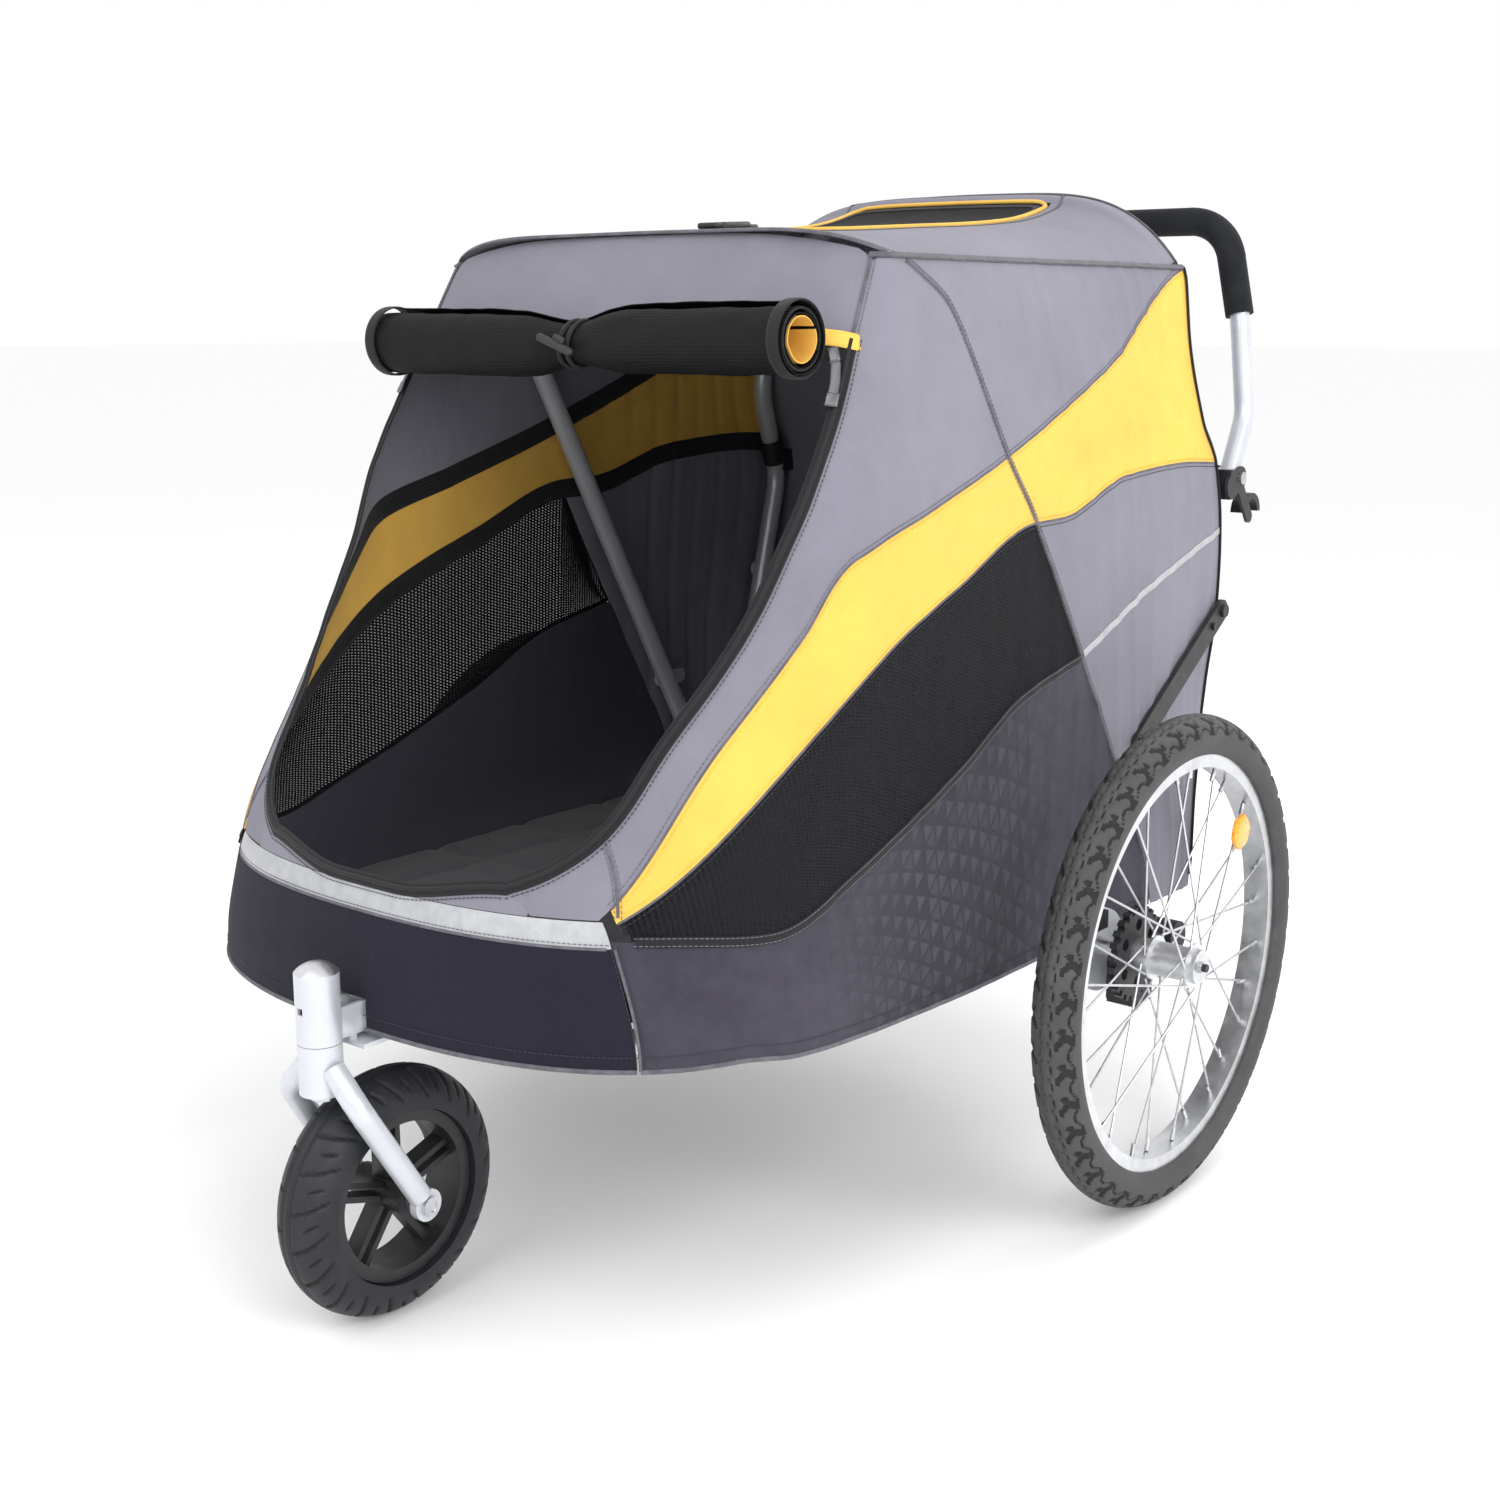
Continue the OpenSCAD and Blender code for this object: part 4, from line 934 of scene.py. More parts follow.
def add_sill():
    half = float(side_x(along(0.056), np.array(130.0)))
    x = np.linspace(-half, half, 90)[:, None]
    v = np.linspace(0, 1, 5)[None, :]
    h = BAND_TOP + (sill_h(x) - BAND_TOP) * v
    sill = cloth_sheet("window_sill", *front_spot(x + 0 * h, h, 0.1), [paint["grey"]])
    soft(sill, "cloth_grey", held="stretched", rests_on=["reflective_strip"])


ROOF_FRONT_Y = float(front_at(657)) - 3
ROOF_REAR_Y = REAR_Y + 25
MESH_HALF = 130
MESH_FRONT_Y = float(along(0.56))
MESH_REAR_Y = REAR_Y - 8
APRON_LOW = 566


def grid_between(x0, x1, y0, y1, rows, cols, out=0.0):
    x = np.linspace(x0, x1, rows)[:, None]
    y = np.linspace(y0, y1, cols)[None, :]
    x, y = np.broadcast_arrays(x, y)
    return roof_spot(x, y, out)


def apron_edge(h):
    share = (np.minimum(h, SIDE_TOP) - WINDOW_TOP[1]) / (SIDE_TOP - WINDOW_TOP[1])
    return side_x(along(WINDOW_TOP[0] + (WINDOW_END[0] - WINDOW_TOP[0]) * share), h) - 0.9


def apron_grid(low, rows, cols):
    """The cloth between the window's top and the roof."""
    t = np.linspace(-1, 1, rows)[:, None]
    top = roof_h(t * float(apron_edge(np.array(float(SIDE_TOP)))), ROOF_FRONT_Y) - 1.2
    v = np.linspace(0, 1, cols)[None, :]
    h = low + (top - low) * v
    return front_spot(t * apron_edge(h), h)


def roof_front_y(x):
    """The roof's front edge, which rounds back at its corners."""
    return np.maximum(ROOF_FRONT_Y, front_y(x, np.array(float(SIDE_TOP))) + 4)


def roof_front_grid(half, rows, cols):
    x = np.linspace(-half, half, rows)[:, None]
    v = np.linspace(0, 1, cols)[None, :]
    front = roof_front_y(x)
    y = front + (MESH_FRONT_Y - front) * v
    return roof_spot(x + 0 * y, y)


def add_roof():
    half = float(half_at(SIDE_TOP)) - 3
    parts = {
        "roof_front": roof_front_grid(half, 130, 44),
        "roof_rear": grid_between(-half, half, MESH_REAR_Y, ROOF_REAR_Y, 130, 8),
        "roof_left": grid_between(MESH_HALF, half, MESH_FRONT_Y, MESH_REAR_Y, 40, 60),
        "roof_right": grid_between(-half, -MESH_HALF, MESH_FRONT_Y, MESH_REAR_Y, 40, 60),
    }
    for name, grid in parts.items():
        piece = cloth_sheet(name, *grid, [paint["grey"]])
        soft(piece, "cloth_grey", "roof_cover", held="stretched", rests_on=GREY_HANG)
    apron = cloth_sheet("front_apron", *apron_grid(APRON_LOW, 90, 22), [paint["grey"]])
    soft(apron, "cloth_grey", held="stretched", rests_on=["front_hoop"])
    screen = cloth_sheet(
        "roof_screen",
        *grid_between(-MESH_HALF, MESH_HALF, MESH_FRONT_Y, MESH_REAR_Y, 50, 60, 0.4),
        [paint["screen"]],
        SCREEN,
    )
    soft(screen, "mesh_black", "roof_mesh", held="stretched", rests_on=[*parts])


def rear_spot(t, h, out=0.0):
    """A point of the rear panel's cloth, and its outward normal."""
    t, h = np.broadcast_arrays(np.asarray(t, float), np.asarray(h, float))
    half = half_at(np.minimum(h, SIDE_TOP)) - 3
    folds = 1.2 + noise(t * 5, h / 140, 2) + 0.8 * np.sin(t * 19 + noise(t, h / 300, 1) * 2)
    y = rear_at(h) + 6 * (1 - t * t) + (folds + 0.8) * (1 - t**4) * 0.6 + out
    points = np.stack([t * half, y, h + 0.0], -1)
    n = np.zeros_like(points)
    n[..., 1] = 1
    return points, n


def add_rear():
    t = np.linspace(-1, 1, 80)[:, None]
    top = roof_h(t * float(half_at(SIDE_TOP) - 3), ROOF_REAR_Y) - 3
    h = -16 + (top + 16) * np.linspace(0, 1, 110)[None, :]
    panel = cloth_sheet("rear_cover", *rear_spot(np.broadcast_to(t, h.shape), h), [paint["grey"]])
    soft(panel, "cloth_grey", "rear_panel", held="stretched", rests_on=["rear_hoop"])


# ---- The rolled-up front window ----------------------------------------------
ROLL_Y = float(along(0.323))
ROLL_H = 564
ROLL_R = 32
ROLL_END = 254 / 328 * HALF_W
PINCH_W = 40


def roll_scale(x):
    return 1 - 0.36 * np.exp(-((x / PINCH_W) ** 2))


def roll_grid(r_in, r_out, turns, start, rows, cols):
    x = np.linspace(-ROLL_END, ROLL_END, rows)[:, None]
    s = np.linspace(0, 1, cols)[None, :]
    a = start + s * turns * 2 * math.pi
    lumps = 1 + 0.035 * noise(x / 60, a * 1.3, 3) + 0.02 * noise(x / 16, a * 3, 2)
    r = (r_in + (r_out - r_in) * s) * roll_scale(x) * lumps
    sag = -3.0 * (1 - np.abs(x) / ROLL_END) + 0 * a
    skew = 2.5 * np.sign(x) * np.minimum(1, np.abs(x) / PINCH_W)
    points = np.stack(
        [x + 0 * a, ROLL_Y + r * np.cos(a) + 0 * x, ROLL_H + r * np.sin(a) + sag + skew + 0 * a], -1
    )
    n = np.stack([0 * a + 0 * x, np.cos(a) + 0 * x, np.sin(a) + 0 * x], -1)
    return points, n


def add_roll():
    turns = 2.15
    outer = roll_grid(21, ROLL_R, turns, 0.6, 150, 110)
    roll = cloth_sheet("rolled_front_window", *outer, [paint["roll"]], 0.8)
    soft(roll, "mesh_black", "rolled_window", held="gathered", rests_on=["window_loop"])
    lining = cloth_sheet(
        "rolled_window_lining", *roll_grid(19.2, 20.2, 0.97, 0.6, 110, 56), [paint["yellow"]], 0.8
    )
    soft(lining, "cloth_yellow", held="gathered", rests_on=[roll])
    x = np.linspace(-0.93, 0.93, 70)[:, None]
    v = np.linspace(0, 1, 6)[None, :]
    h = APRON_LOW - 1 - 10 * v
    points, normals = front_spot(x * 0.92 * ROLL_END + 0 * v, h + 0 * x)
    neck = cloth_sheet("rolled_window_neck", points, normals, [paint["roll"]], 0.7)
    soft(neck, "mesh_black", held="stretched", rests_on=["front_apron"])
    ends = Bag()
    for x_at in (-ROLL_END, ROLL_END):
        a = np.linspace(0, 2 * math.pi, 64, endpoint=False)
        for r, width in ((ROLL_R + 0.3, 13), (ROLL_R - 6.5, 6)):
            s = math.copysign(1, x_at)
            ring = np.stack(
                [x_at - s * width / 2 + 0 * a, ROLL_Y + r * np.cos(a), ROLL_H + 2.5 * s + r * np.sin(a)], 1
            )
            out = np.stack([0 * a, np.cos(a), np.sin(a)], 1)
            strip(ends, ring, out, width, 2.0, closed=True)
    soft(ends.piece("roll_end_bindings", paint["binding"]), "webbing_black")
    loop = Bag()
    a = np.linspace(0, 2 * math.pi, 48, endpoint=False)
    r = ROLL_R * 0.655
    for x_at in (-4, 6):
        ring = np.stack([x_at + 4 * np.sin(a), ROLL_Y + r * np.cos(a), ROLL_H - 3 + r * np.sin(a)], 1)
        strip(loop, ring, np.stack([0 * a, np.cos(a), np.sin(a)], 1), 5, 3.0, closed=True)
    soft(loop.piece("window_loop", paint["webbing"]), "webbing_black", "window_straps")
    toggle = Bag()
    lean, facing = (1, 0, -0.35), (0, -1, 0)
    rounded_box(toggle, (-4, ROLL_Y - r - 5, ROLL_H - 4), (46, 8, 8), lean, facing, round_mm=3.8)
    rounded_box(toggle, (-2, ROLL_Y - r - 3, ROLL_H - 2), (14, 13, 5), lean, facing, round_mm=2.2)
    soft(toggle.piece("window_toggle", paint["plastic"]), "plastic_black")


# ---- Bindings, seams, zips and trims -------------------------------------------
def window_rim(count=150):
    """The window's edge on the left, from the front's middle up to the apron."""
    x = np.linspace(0, float(side_x(along(WINDOW_FROM), np.array(130.0))) - 2, 50)
    edge_f = np.linspace(0.052, WINDOW_TOP[0] + 0.004, count)
    front, front_n = front_spot(x, sill_h(x), 0.6)
    side, side_n = side_spot(edge_f, window_edge(edge_f), 0.6)
    return np.concatenate([front, side]), np.concatenate([front_n, side_n])


def seam(tape, spots, width, thick, thread=None, shifts=(), lift=0.1):
    """A tape along a line on both sides of the cabin, with rows of stitches beside it."""
    tape.both(strip, *spots, width, thick)
    for shift in shifts:
        thread.both(stitches, *spots, shift=shift, lift=lift)


def add_trims():
    binding, zips, piping, felled = Bag(), Bag(), Bag(), Bag()
    dark, grey, gold = Bag(), Bag(), Bag()
    rim, rim_n = window_rim()
    rim, _ = spaced(rim, 6)
    rim_n = np.stack([np.interp(np.linspace(0, 1, len(rim)), np.linspace(0, 1, len(rim_n)), rim_n[:, k])
                      for k in range(3)], 1)
    seam(binding, (rim, rim_n), 12, 2.6, dark, (8.5,), 0.2)
    zips.both(strip, rim, rim_n, 4.2, 4.2, lift=1.4)

    f_mesh = np.linspace(0.092, 0.733, 150)
    seam(binding, side_spot(f_mesh, lower_head(f_mesh), 0.7), 9, 1.8, grey, (-3, 3), 1.1)
    f_all = np.linspace(0.086, 1.062, 220)
    for curve, step in ((yellow_top, 1), (yellow_low, -1)):
        seam(felled, side_spot(f_all, curve(f_all), 0.25), 2.0, 0.9)
        gold.both(stitches, *side_spot(f_all, curve(f_all) - step * 4, 0.2))
        (grey if step > 0 else dark).both(stitches, *side_spot(f_all, curve(f_all) + step * 4, 0.2))
        seam(binding, side_spot(f_all, curve(f_all), -2.1), 22, 1.0)

    h_bow = np.linspace(20, 632, 160)
    f_bow = np.where(h_bow < BOW_FROM, SEAM_F - h_bow / SEAM_RISE, bow_seam(h_bow))
    seam(felled, side_spot(f_bow, h_bow, 0.3), 3.6, 1.3, grey, (-3.4, 3.4))

    h_front = np.linspace(118, 176, 30)
    f_front = np.interp(h_front, [118, 176], [0.087, 0.1035])
    seam(felled, side_spot(f_front, h_front, 0.25), 2.6, 1.0, grey, (3, -3))
    h_skirt = np.linspace(-2, 94, 40)
    f_skirt = SEAM_FROM + 0.001 + 0 * h_skirt
    seam(felled, side_spot(f_skirt, h_skirt, 0.3), 2.6, 1.2, dark, (-3.4, 3.4), 0.2)

    f_apron = np.linspace(WINDOW_TOP[0], WINDOW_END[0], 40)
    seam(felled, side_spot(f_apron, window_edge(f_apron), 0.4), 3, 1.4, grey, (4,), 0.2)

    hem_f = np.linspace(0.08, 0.9, 160)
    seam(felled, side_spot(hem_f, hem_rise(hem_f), 0.2), 4.2, 3.0)
    dark.both(stitches, *side_spot(hem_f, hem_rise(hem_f) + 12, 0.2))
    hem_x = np.linspace(19, float(side_x(along(SEAM_FROM), np.array(0.0))) - 1, 60)
    seam(felled, front_spot(hem_x, -3 + 0 * hem_x, 0.2), 4.2, 3.0)
    dark.both(stitches, *front_spot(hem_x, 9 + 0 * hem_x, 0.2))
    band_x = np.linspace(0, float(side_x(along(SEAM_FROM), np.array(100.0))) - 2, 60)
    grey.both(stitches, *front_spot(band_x, BAND_LOW + 3 + 0 * band_x, 0.2))
    seam(felled, front_spot(band_x, BAND_LOW - 0.3 + 0 * band_x, 0.2), 2.6, 1.2)

    # The seam between the roof and the sides, the rear edges, and the roof's front edge
    f_top = np.linspace(WINDOW_END[0], SIDE_END, 120)
    line, line_n = side_spot(f_top, SIDE_TOP + 1.5 + 0 * f_top, 0.0)
    line_n = line_n * [0.75, 1, 1] + [0, 0, 0.66]
    felled.both(strip, line, line_n, 7.5, 2.4, lift=0.2)
    h_rear = np.linspace(-14, SIDE_TOP, 150)
    line, line_n = side_spot(SIDE_END + 0 * h_rear, h_rear, 0.2)
    edge_n = line_n * [1, 0, 0] + [0, 0.7, 0]
    binding.both(strip, line, edge_n, 9, 2.6)
    x_edge = np.linspace(0, float(half_at(SIDE_TOP)) - 6, 70)
    line, line_n = roof_spot(x_edge, roof_front_y(x_edge), 0.2)
    felled.both(strip, line, line_n * [1, 1, 0.8] + [0, -0.5, 0], 5, 2.6)
    line, line_n = roof_spot(x_edge, ROOF_REAR_Y + 0 * x_edge, 0.2)
    felled.both(strip, line, line_n * [1, 1, 0.8] + [0, 0.6, 0], 6, 3.0)
    grey.both(stitches, *roof_spot(x_edge, roof_front_y(x_edge) + 9, 0.2))

    # Yellow piping and stitching round the roof's mesh window
    corner = 16
    ring_x, ring_y = [], []
    spots = ((1, 1, 0), (-1, 1, 90), (-1, -1, 180), (1, -1, 270))
    middle_y = (MESH_FRONT_Y + MESH_REAR_Y) / 2
    half_l = (MESH_REAR_Y - MESH_FRONT_Y) / 2
    for sx, sy, turn in spots:
        for a in np.radians(np.linspace(turn, turn + 90, 8)):
            ring_x.append(sx * (MESH_HALF - corner) + corner * math.cos(a))
            ring_y.append(middle_y + sy * (half_l - corner) + corner * math.sin(a))
    ring = np.array([ring_x + ring_x[:1], ring_y + ring_y[:1], [0] * (len(ring_x) + 1)]).T
    ring, _ = spaced(ring, 7)
    ring = ring[:-1]
    line, line_n = roof_spot(ring[:, 0], ring[:, 1], 1.6)
    strip(piping, line, line_n, 4.6, 4.6, closed=True)
    for bag, share, out, width, thick in ((binding, 0.955, 0.8, 9, 1.8), (felled, 1.09, 0.4, 3, 1.4)):
        around = roof_spot(ring[:, 0] * share, middle_y + (ring[:, 1] - middle_y) * share, out)
        strip(bag, *around, width, thick, closed=True)

    # A light reflective piping slants across each rear side panel
    stripe = Bag()
    f_stripe = np.linspace(0.739, 1.064, 60)
    h_stripe = np.interp(f_stripe, [0.739, 0.871, 1.064], [260, 306, 357])
    seam(stripe, side_spot(f_stripe, h_stripe, 0.6), 7, 1.6)

    for bag, name, key, slot in (
        (binding, "black_bindings", "binding", "webbing_black"),
        (zips, "window_zips", "webbing", "webbing_black"),
        (piping, "yellow_piping", "piping", "cloth_yellow"),
        (felled, "felled_seams", "thread_grey", "cloth_grey"),
        (dark, "dark_stitching", "thread_dark", "webbing_black"),
        (grey, "grey_stitching", "thread_grey", "cloth_grey"),
        (gold, "yellow_stitching", "thread_yellow", "cloth_yellow"),
        (stripe, "reflective_piping", "band", "band_reflective"),
    ):
        soft(bag.piece(name, paint[key]), slot)


STRAP_X = -8


def add_fittings():
    """Zip pulls with their yellow tabs, and the roof's strap and buckle."""
    tabs, pulls, straps, buckles = Bag(), Bag(), Bag(), Bag()
    top_f, top_h = WINDOW_TOP
    spot, normal = side_spot([top_f + 0.004], [top_h + 4], 2.2)
    path = spot[0] + np.array([[-26, -16, 5], [-10, -6, 3], [2, 2, 0], [3, 9, -1]])
    tabs.both(strip, path, np.repeat(normal, len(path), 0), 15, 1.6)
    pull, pull_n = side_spot([top_f - 0.010, top_f - 0.013, top_f - 0.02, top_f - 0.028],
                             [top_h - 8, top_h - 16, top_h - 30, top_h - 44], 5)
    pulls.both(strip, pull, pull_n, 9, 2.4)
    for side in (1, -1):
        rounded_box(pulls, pull[0], (15, 11, 6), pull[0] - pull[1], pull_n[0], side, 2.4)
        rounded_box(pulls, pull[3], (13, 12, 3.2), pull[2] - pull[3], pull_n[3], side, 1.5)
    strap_y = np.linspace(MESH_FRONT_Y - 34, MESH_FRONT_Y + 70, 24)
    straps_line, straps_n = roof_spot(STRAP_X + 0 * strap_y, strap_y, 3.4)
    strip(straps, straps_line, straps_n, 20, 1.5)
    centre, normal = roof_spot([STRAP_X], [MESH_FRONT_Y + 8], 7.5)
    rounded_box(buckles, centre[0], (27, 44, 9), (1, 0, 0), normal[0], 1, 3.5)
    rounded_box(buckles, centre[0] + [0, 27, 0], (23, 16, 6), (1, 0, 0), normal[0], 1, 2.4)
    rounded_box(buckles, centre[0] - [0, 27, 0], (25, 12, 6), (1, 0, 0), normal[0], 1, 2.4)
    soft(tabs.piece("zip_tabs", paint["yellow"]), "cloth_yellow")
    soft(pulls.piece("zip_pulls", paint["pull"]), "steel_zinc")
    soft(straps.piece("roof_strap", paint["webbing"]), "webbing_black")
    soft(buckles.piece("roof_buckle", paint["plastic"]), "plastic_black")


# ---- Tyres and reflectors ---------------------------------------------------
TYRE_WALL = 3.2
REAR_LUGS = 44
FRONT_LUGS = 20
GROOVE_FROM = 0.7
LENS_R = 18.5
LENS_SIDES = 72


def tyre(name, centre, tyre_r, section, inner_r, lugs, tread, key, samples, across=56):
    """A hollow tyre with its tread cut in. tread(turns, angle) is the cut's depth in mm."""
    a = np.linspace(-150, 150, across)
    wheel = np.linspace(0, 2 * math.pi, samples, endpoint=False)
    w, s = np.meshgrid(wheel, a, indexing="ij")
    depth = tread(w / (2 * math.pi) * lugs, s)
    mid_r = tyre_r - section
    outer_r = mid_r + (section - depth) * np.cos(np.radians(s))
    outer_x = (section - depth) * np.sin(np.radians(s))
    outer_r = np.maximum(outer_r, inner_r)
    inner_rr = np.maximum(mid_r + (section - TYRE_WALL) * np.cos(np.radians(s)), inner_r + 0.2)
    inner_x = (section - TYRE_WALL) * np.sin(np.radians(s))
    r = np.concatenate([outer_r, inner_rr[:, ::-1]], 1)
    x = np.concatenate([outer_x, inner_x[:, ::-1]], 1)
    angle = np.repeat(wheel[:, None], r.shape[1], 1)
    points = np.stack([x, r * np.cos(angle), r * np.sin(angle)], -1) + np.asarray(centre)
    ring = r.shape[1]
    faces = ring_faces(samples, ring, closed=True, inward=True)
    uv = np.stack([angle * tyre_r, np.cumsum(np.ones_like(r), 1)], -1).reshape(-1, 2) * MM
    cut = np.concatenate([depth, 0 * depth], 1)
    cut = (cut + np.roll(cut, -1, 1) + np.roll(cut, -1, 0)) / 3
    in_groove = (cut > GROOVE_FROM).astype(int).ravel().tolist()
    mats = [paint[key], paint["groove"]]
    return build(name, points.reshape(-1, 3) * MM, faces, uv, mats, in_groove, math.radians(60))


def groove(distance, width, soft_by=0.3):
    return 1 - smoothstep(width * (1 - soft_by), width * (1 + soft_by), np.abs(distance))


def rear_tread(turns, s):
    """A centre rib, waves on both shoulders and short slots, with knobs at the edge."""
    side = np.abs(s)
    stagger = np.where(s > 0, 0.0, 0.5)
    lug = turns + stagger
    wave = 0.30 * np.sin(np.pi * np.clip((side - 26) / 52, 0, 1))
    near = (lug + wave) % 1 - 0.5
    cut = groove(near, 0.11) * smoothstep(20, 28, side) * (1 - smoothstep(72, 80, side))
    arc = groove(side - (66 + 9 * np.sin(lug * 2 * np.pi)), 2.6)
    slot = groove((lug + 0.5) % 1 - 0.5, 0.06) * groove(side - 40, 9, 0.15)
    rib = groove(side - 12 - 2.2 * np.sin(lug * 4 * np.pi), 1.9)
    shoulder = groove(side - 84, 1.6) * 0.5
    return 2.0 * np.maximum.reduce([cut, arc * 0.9, slot, rib]) + 0.5 * shoulder


def front_tread(turns, s):
    """Curved cuts that fan over each shoulder, and two rings by the rim."""
    side = np.abs(s)
    lug = turns + np.where(s > 0, 0.0, 0.5)
    sweep = 0.55 * (np.clip(side, 12, 84) / 84) ** 2
    cut = groove((lug + sweep) % 1 - 0.5, 0.05) * smoothstep(12, 18, side)
    cut = cut * (1 - smoothstep(74, 84, side))
    short = groove((lug + sweep + 0.5) % 1 - 0.5, 0.035) * smoothstep(34, 40, side)
    short = short * (1 - smoothstep(60, 66, side))
    rings = np.maximum(groove(side - 96, 1.5), groove(side - 112, 1.5)) * 0.6
    centre = groove(side - 7, 1.4)
    return 1.9 * np.maximum.reduce([cut, short, centre]) + 0.7 * rings


def add_reflectors():
    """Orange lenses on the spokes: rounded hexagons with a domed face."""
    turn = np.linspace(0, 2 * math.pi, LENS_SIDES, endpoint=False)
    hexagon = math.cos(math.pi / 6) / np.cos(turn % (math.pi / 3) - math.pi / 6)
    outline = LENS_R * (0.45 + 0.55 * hexagon)
    dome = np.linspace(0.06, math.pi / 2, 9)
    shares = np.concatenate([np.sin(dome) * 0.93, [0.985, 1.0, 1.0, 0.97]])
    rises = np.concatenate([1.6 + 2.0 * np.cos(dome), [1.3, 0.6, -1.9, -2.4]])
    for name, side in SIDES:
        low, high = box_mm(f"wheel_reflector_{name}")
        centre = (low + high) / 2
        out = centre[1:] - (AXLE_Y, WHEEL_R)
        out /= np.linalg.norm(out)
        across = np.cos(turn) * outline
        along_spoke = np.sin(turn) * outline
        y = centre[1] + out[0] * along_spoke - out[1] * across
        z = centre[2] + out[1] * along_spoke + out[0] * across
        points = np.concatenate([
            np.stack([
                centre[0] + side * rise + 0 * y,
                centre[1] + share * (y - centre[1]),
                centre[2] + share * (z - centre[2]),
            ], 1)
            for share, rise in zip(shares, rises)
        ])
        last = len(points)
        faces = [tuple(range(LENS_SIDES)), tuple(range(last - LENS_SIDES, last))[::-1]]
        faces += ring_faces(len(shares), LENS_SIDES, inward=True)
        if side > 0:
            faces = [face[::-1] for face in faces]
        uv = points[:, 1:] * MM
        piece = build(
            f"reflector_lens_{name}", points * MM, faces, uv, [paint["orange"]], sharp=math.radians(40)
        )
        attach(piece, f"rear_wheel_{name}")
        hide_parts(f"wheel_reflector_{name}")


def add_tyres():
    rim_low, rim_high = box_mm("rear_rim_left")
    rim_r = (rim_high[2] - rim_low[2]) / 2
    half = (tyre_high[0] - tyre_low[0]) / 2
    for name, side in SIDES:
        centre = (side * WHEEL_X, AXLE_Y, WHEEL_R)
        label = f"treaded_tyre_{name}"
        piece = tyre(label, centre, WHEEL_R, half, rim_r - 3, REAR_LUGS, rear_tread, "tyre", 18 * REAR_LUGS)
        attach(piece, f"rear_wheel_{name}")
        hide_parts(f"rear_tyre_{name}")
    centre = (caster_low + caster_high) / 2
    radius = (caster_high[2] - caster_low[2]) / 2
    half = (caster_high[0] - caster_low[0]) / 2
    label = "treaded_tyre_front"
    piece = tyre(label, centre, radius, half, radius - 34, FRONT_LUGS, front_tread, "caster", 26 * FRONT_LUGS)
    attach(piece, "front_wheel")
    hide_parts("front_tyre")


# ---- The floor mat ------------------------------------------------------------
MAT_SLANT = 149
MAT_CORNER = 106


def mat_outline(inset):
    """The mat's outline: a rectangle with its two front corners cut off."""
    half, front, rear = mat_high[0] - inset, mat_low[1] + inset, mat_high[1] - inset
    slant = front + MAT_SLANT
    nose = half - MAT_CORNER
    return [(half, rear), (half, slant), (nose, front), (-nose, front), (-half, slant), (-half, rear)]


def in_outline(x, y):
    """How far inside the mat's outline a point lies, in millimetres."""
    (half, rear), (_, slant), (nose, front) = mat_outline(0)[:3]
    run = math.hypot(half - nose, slant - front)
    corner = ((half - np.abs(x)) * (slant - front) + (y - front) * (half - nose)
              - (half - nose) * (slant - front)) / run
    return np.minimum.reduce([half - np.abs(x), rear - y, y - front, corner + 0 * x])


def add_mat():
    """A padded mat: crowned between quilting lines, with piped edges."""
    half, front, rear = mat_high[0], mat_low[1], mat_high[1]
    rows, cols = 110, 130
    v = np.linspace(0, 1, cols)
    y = front + (rear - front) * v
    wide = np.interp(y, [front, front + MAT_SLANT, rear], [half - MAT_CORNER, half, half])
    u = np.linspace(-1, 1, rows)[:, None]
    x = u * wide[None, :]
    y = np.broadcast_to(y[None, :], x.shape)
    depth = np.clip(in_outline(x, y), 0, None)
    thick = mat_high[2] - mat_low[2]
    channel = np.abs((x / 96 + 0.5) % 1 - 0.5) * 96
    across = np.abs(((y - front) / 128) % 1 - 0.5) * 128
    quilt = smoothstep(0, 16, np.minimum(channel, 64 - np.minimum(across, 64)))
    edge = np.sqrt(np.clip(1 - (1 - np.clip(depth / 14, 0, 1)) ** 2, 0, 1))
    wave = 1.2 * noise(x / 50, y / 50, 4) + 0.6 * noise(x / 17, y / 17, 5)
    top = mat_low[2] + thick * (0.5 + 0.5 * edge) - 3.4 * (1 - quilt) * edge + wave * edge - 1.2
    bottom = mat_low[2] + thick * 0.5 * (1 - edge)
    upper = np.stack([x, y, top], -1).reshape(-1, 3)
    lower = np.stack([x, y, bottom], -1).reshape(-1, 3)
    n = rows * cols
    faces = quads(rows, cols, 0, True) + quads(rows, cols, n, False)
    rim = grid_rim(rows, cols)
    for k, a in enumerate(rim):
        b = rim[(k + 1) % len(rim)]
        faces.append([a, b, n + b, n + a])
    uv = np.concatenate([upper[:, :2], lower[:, :2]]) * MM
    mat = build("padded_mat", np.concatenate([upper, lower]) * MM, faces, uv, [paint["mat"]])
    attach(mat, "chassis")
    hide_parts("floor_mat")
    edge_bag = Bag()
    outline = mat_outline(1.5)
    ring, _ = spaced([(*p, mat_low[2] + thick / 2) for p in outline + outline[:1]], 8)
    strip(edge_bag, ring[:-1], np.tile([0.0, 0, 1], (len(ring) - 1, 1)), 5, 5, closed=True)
    piped = edge_bag.piece("mat_piping", paint["binding"], local=False)
    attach(piped, "chassis")


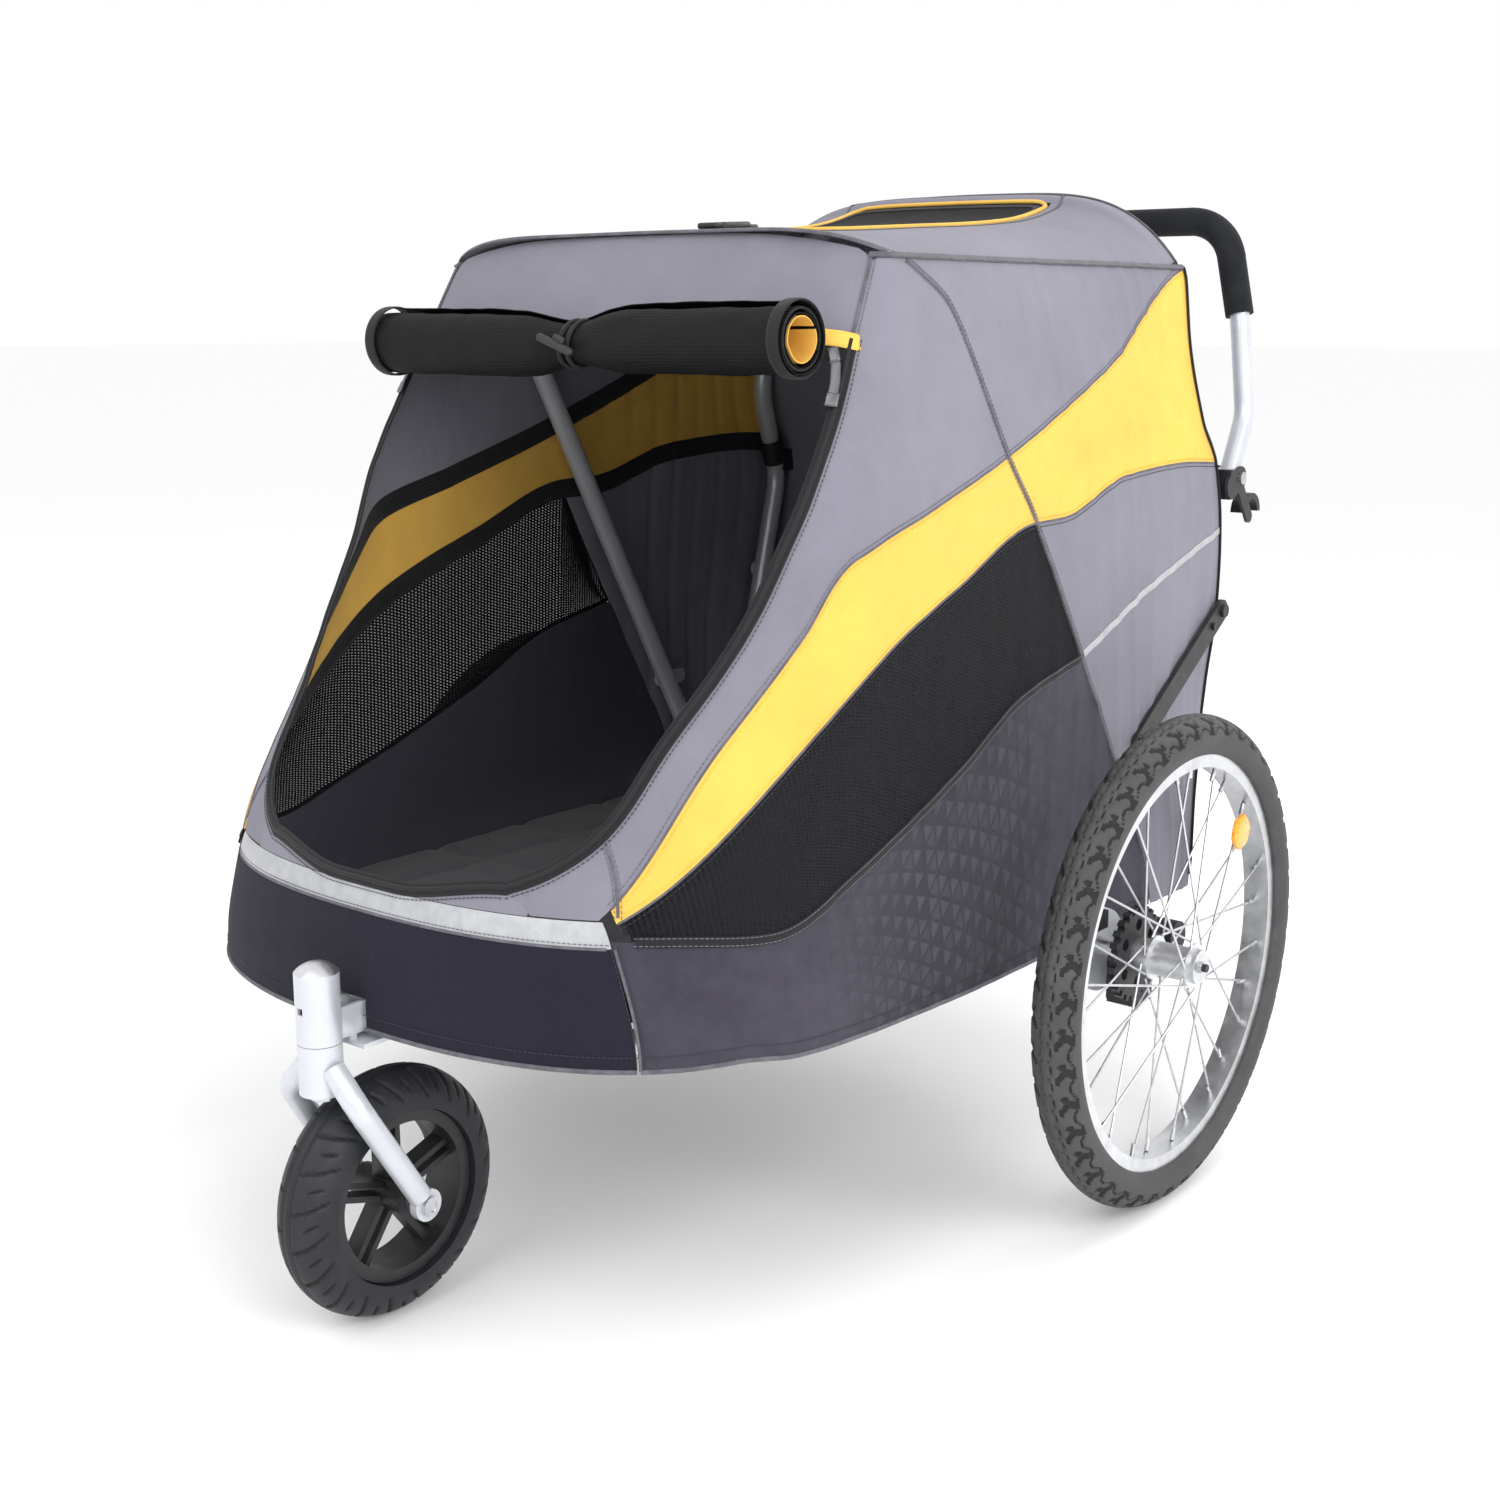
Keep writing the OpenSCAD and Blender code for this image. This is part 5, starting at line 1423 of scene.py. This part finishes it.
# ---- Stage ------------------------------------------------------------------
def add_stage():
    mesh = bpy.data.meshes.new("floor")
    size = 60
    corners = [(-size, -size, 0), (size, -size, 0), (size, size, 0), (-size, size, 0)]
    mesh.from_pydata(corners, [], [[0, 1, 2, 3]])
    floor = bpy.data.objects.new("floor", mesh)
    bpy.context.scene.collection.objects.link(floor)
    s = Shader("pale_floor", (0.97, 0.97, 0.97), 0.9, specular=0.0)
    mesh.materials.append(s.finish(s.shade(s.noise(3, 2), 0.99, 1.0)))
    world_data = bpy.data.worlds.new("studio")
    world_data.use_nodes = True
    back = world_data.node_tree.nodes["Background"]
    back.inputs["Color"].default_value = (1, 1, 1, 1)
    back.inputs["Strength"].default_value = 1.0
    bpy.context.scene.world = world_data
    lights = (
        ("key", (0.2, -2.8, 2.9), 40, 2.2),
        ("side", (3.0, -0.9, 2.0), 64, 2.2),
        ("rim", (0.8, 2.6, 2.4), 30, 2.0),
    )
    for name, spot, power, size in lights:
        data = bpy.data.lights.new(name, "AREA")
        data.energy = power
        data.size = size
        lamp = bpy.data.objects.new(name, data)
        lamp.location = spot
        lamp.rotation_mode = "QUATERNION"
        lamp.rotation_quaternion = (Vector((0, 0, 0.5)) - Vector(spot)).to_track_quat("-Z", "Y")
        bpy.context.scene.collection.objects.link(lamp)


CAMERA_AT = (1.2444, -1.5152, 0.8598)
CAMERA_ANGLES = (38.724, 12.463)
CAMERA_LENS = 46.70


def add_camera():
    data = bpy.data.cameras.new("camera")
    data.lens = CAMERA_LENS
    data.sensor_width = 36
    camera = bpy.data.objects.new("camera", data)
    camera.location = CAMERA_AT
    turn, down = (math.radians(a) for a in CAMERA_ANGLES)
    back = Vector((math.sin(turn) * math.cos(down), -math.cos(turn) * math.cos(down), math.sin(down)))
    camera.rotation_mode = "QUATERNION"
    camera.rotation_quaternion = (-back).to_track_quat("-Z", "Y")
    bpy.context.scene.collection.objects.link(camera)
    bpy.context.scene.camera = camera


bpy.context.scene.view_settings.view_transform = "Standard"
add_camera()
add_stage()
paint_nodes()
add_sides()
add_front()
add_sill()
add_roof()
add_rear()
add_roll()
add_trims()
add_fittings()
add_tyres()
add_reflectors()
add_mat()
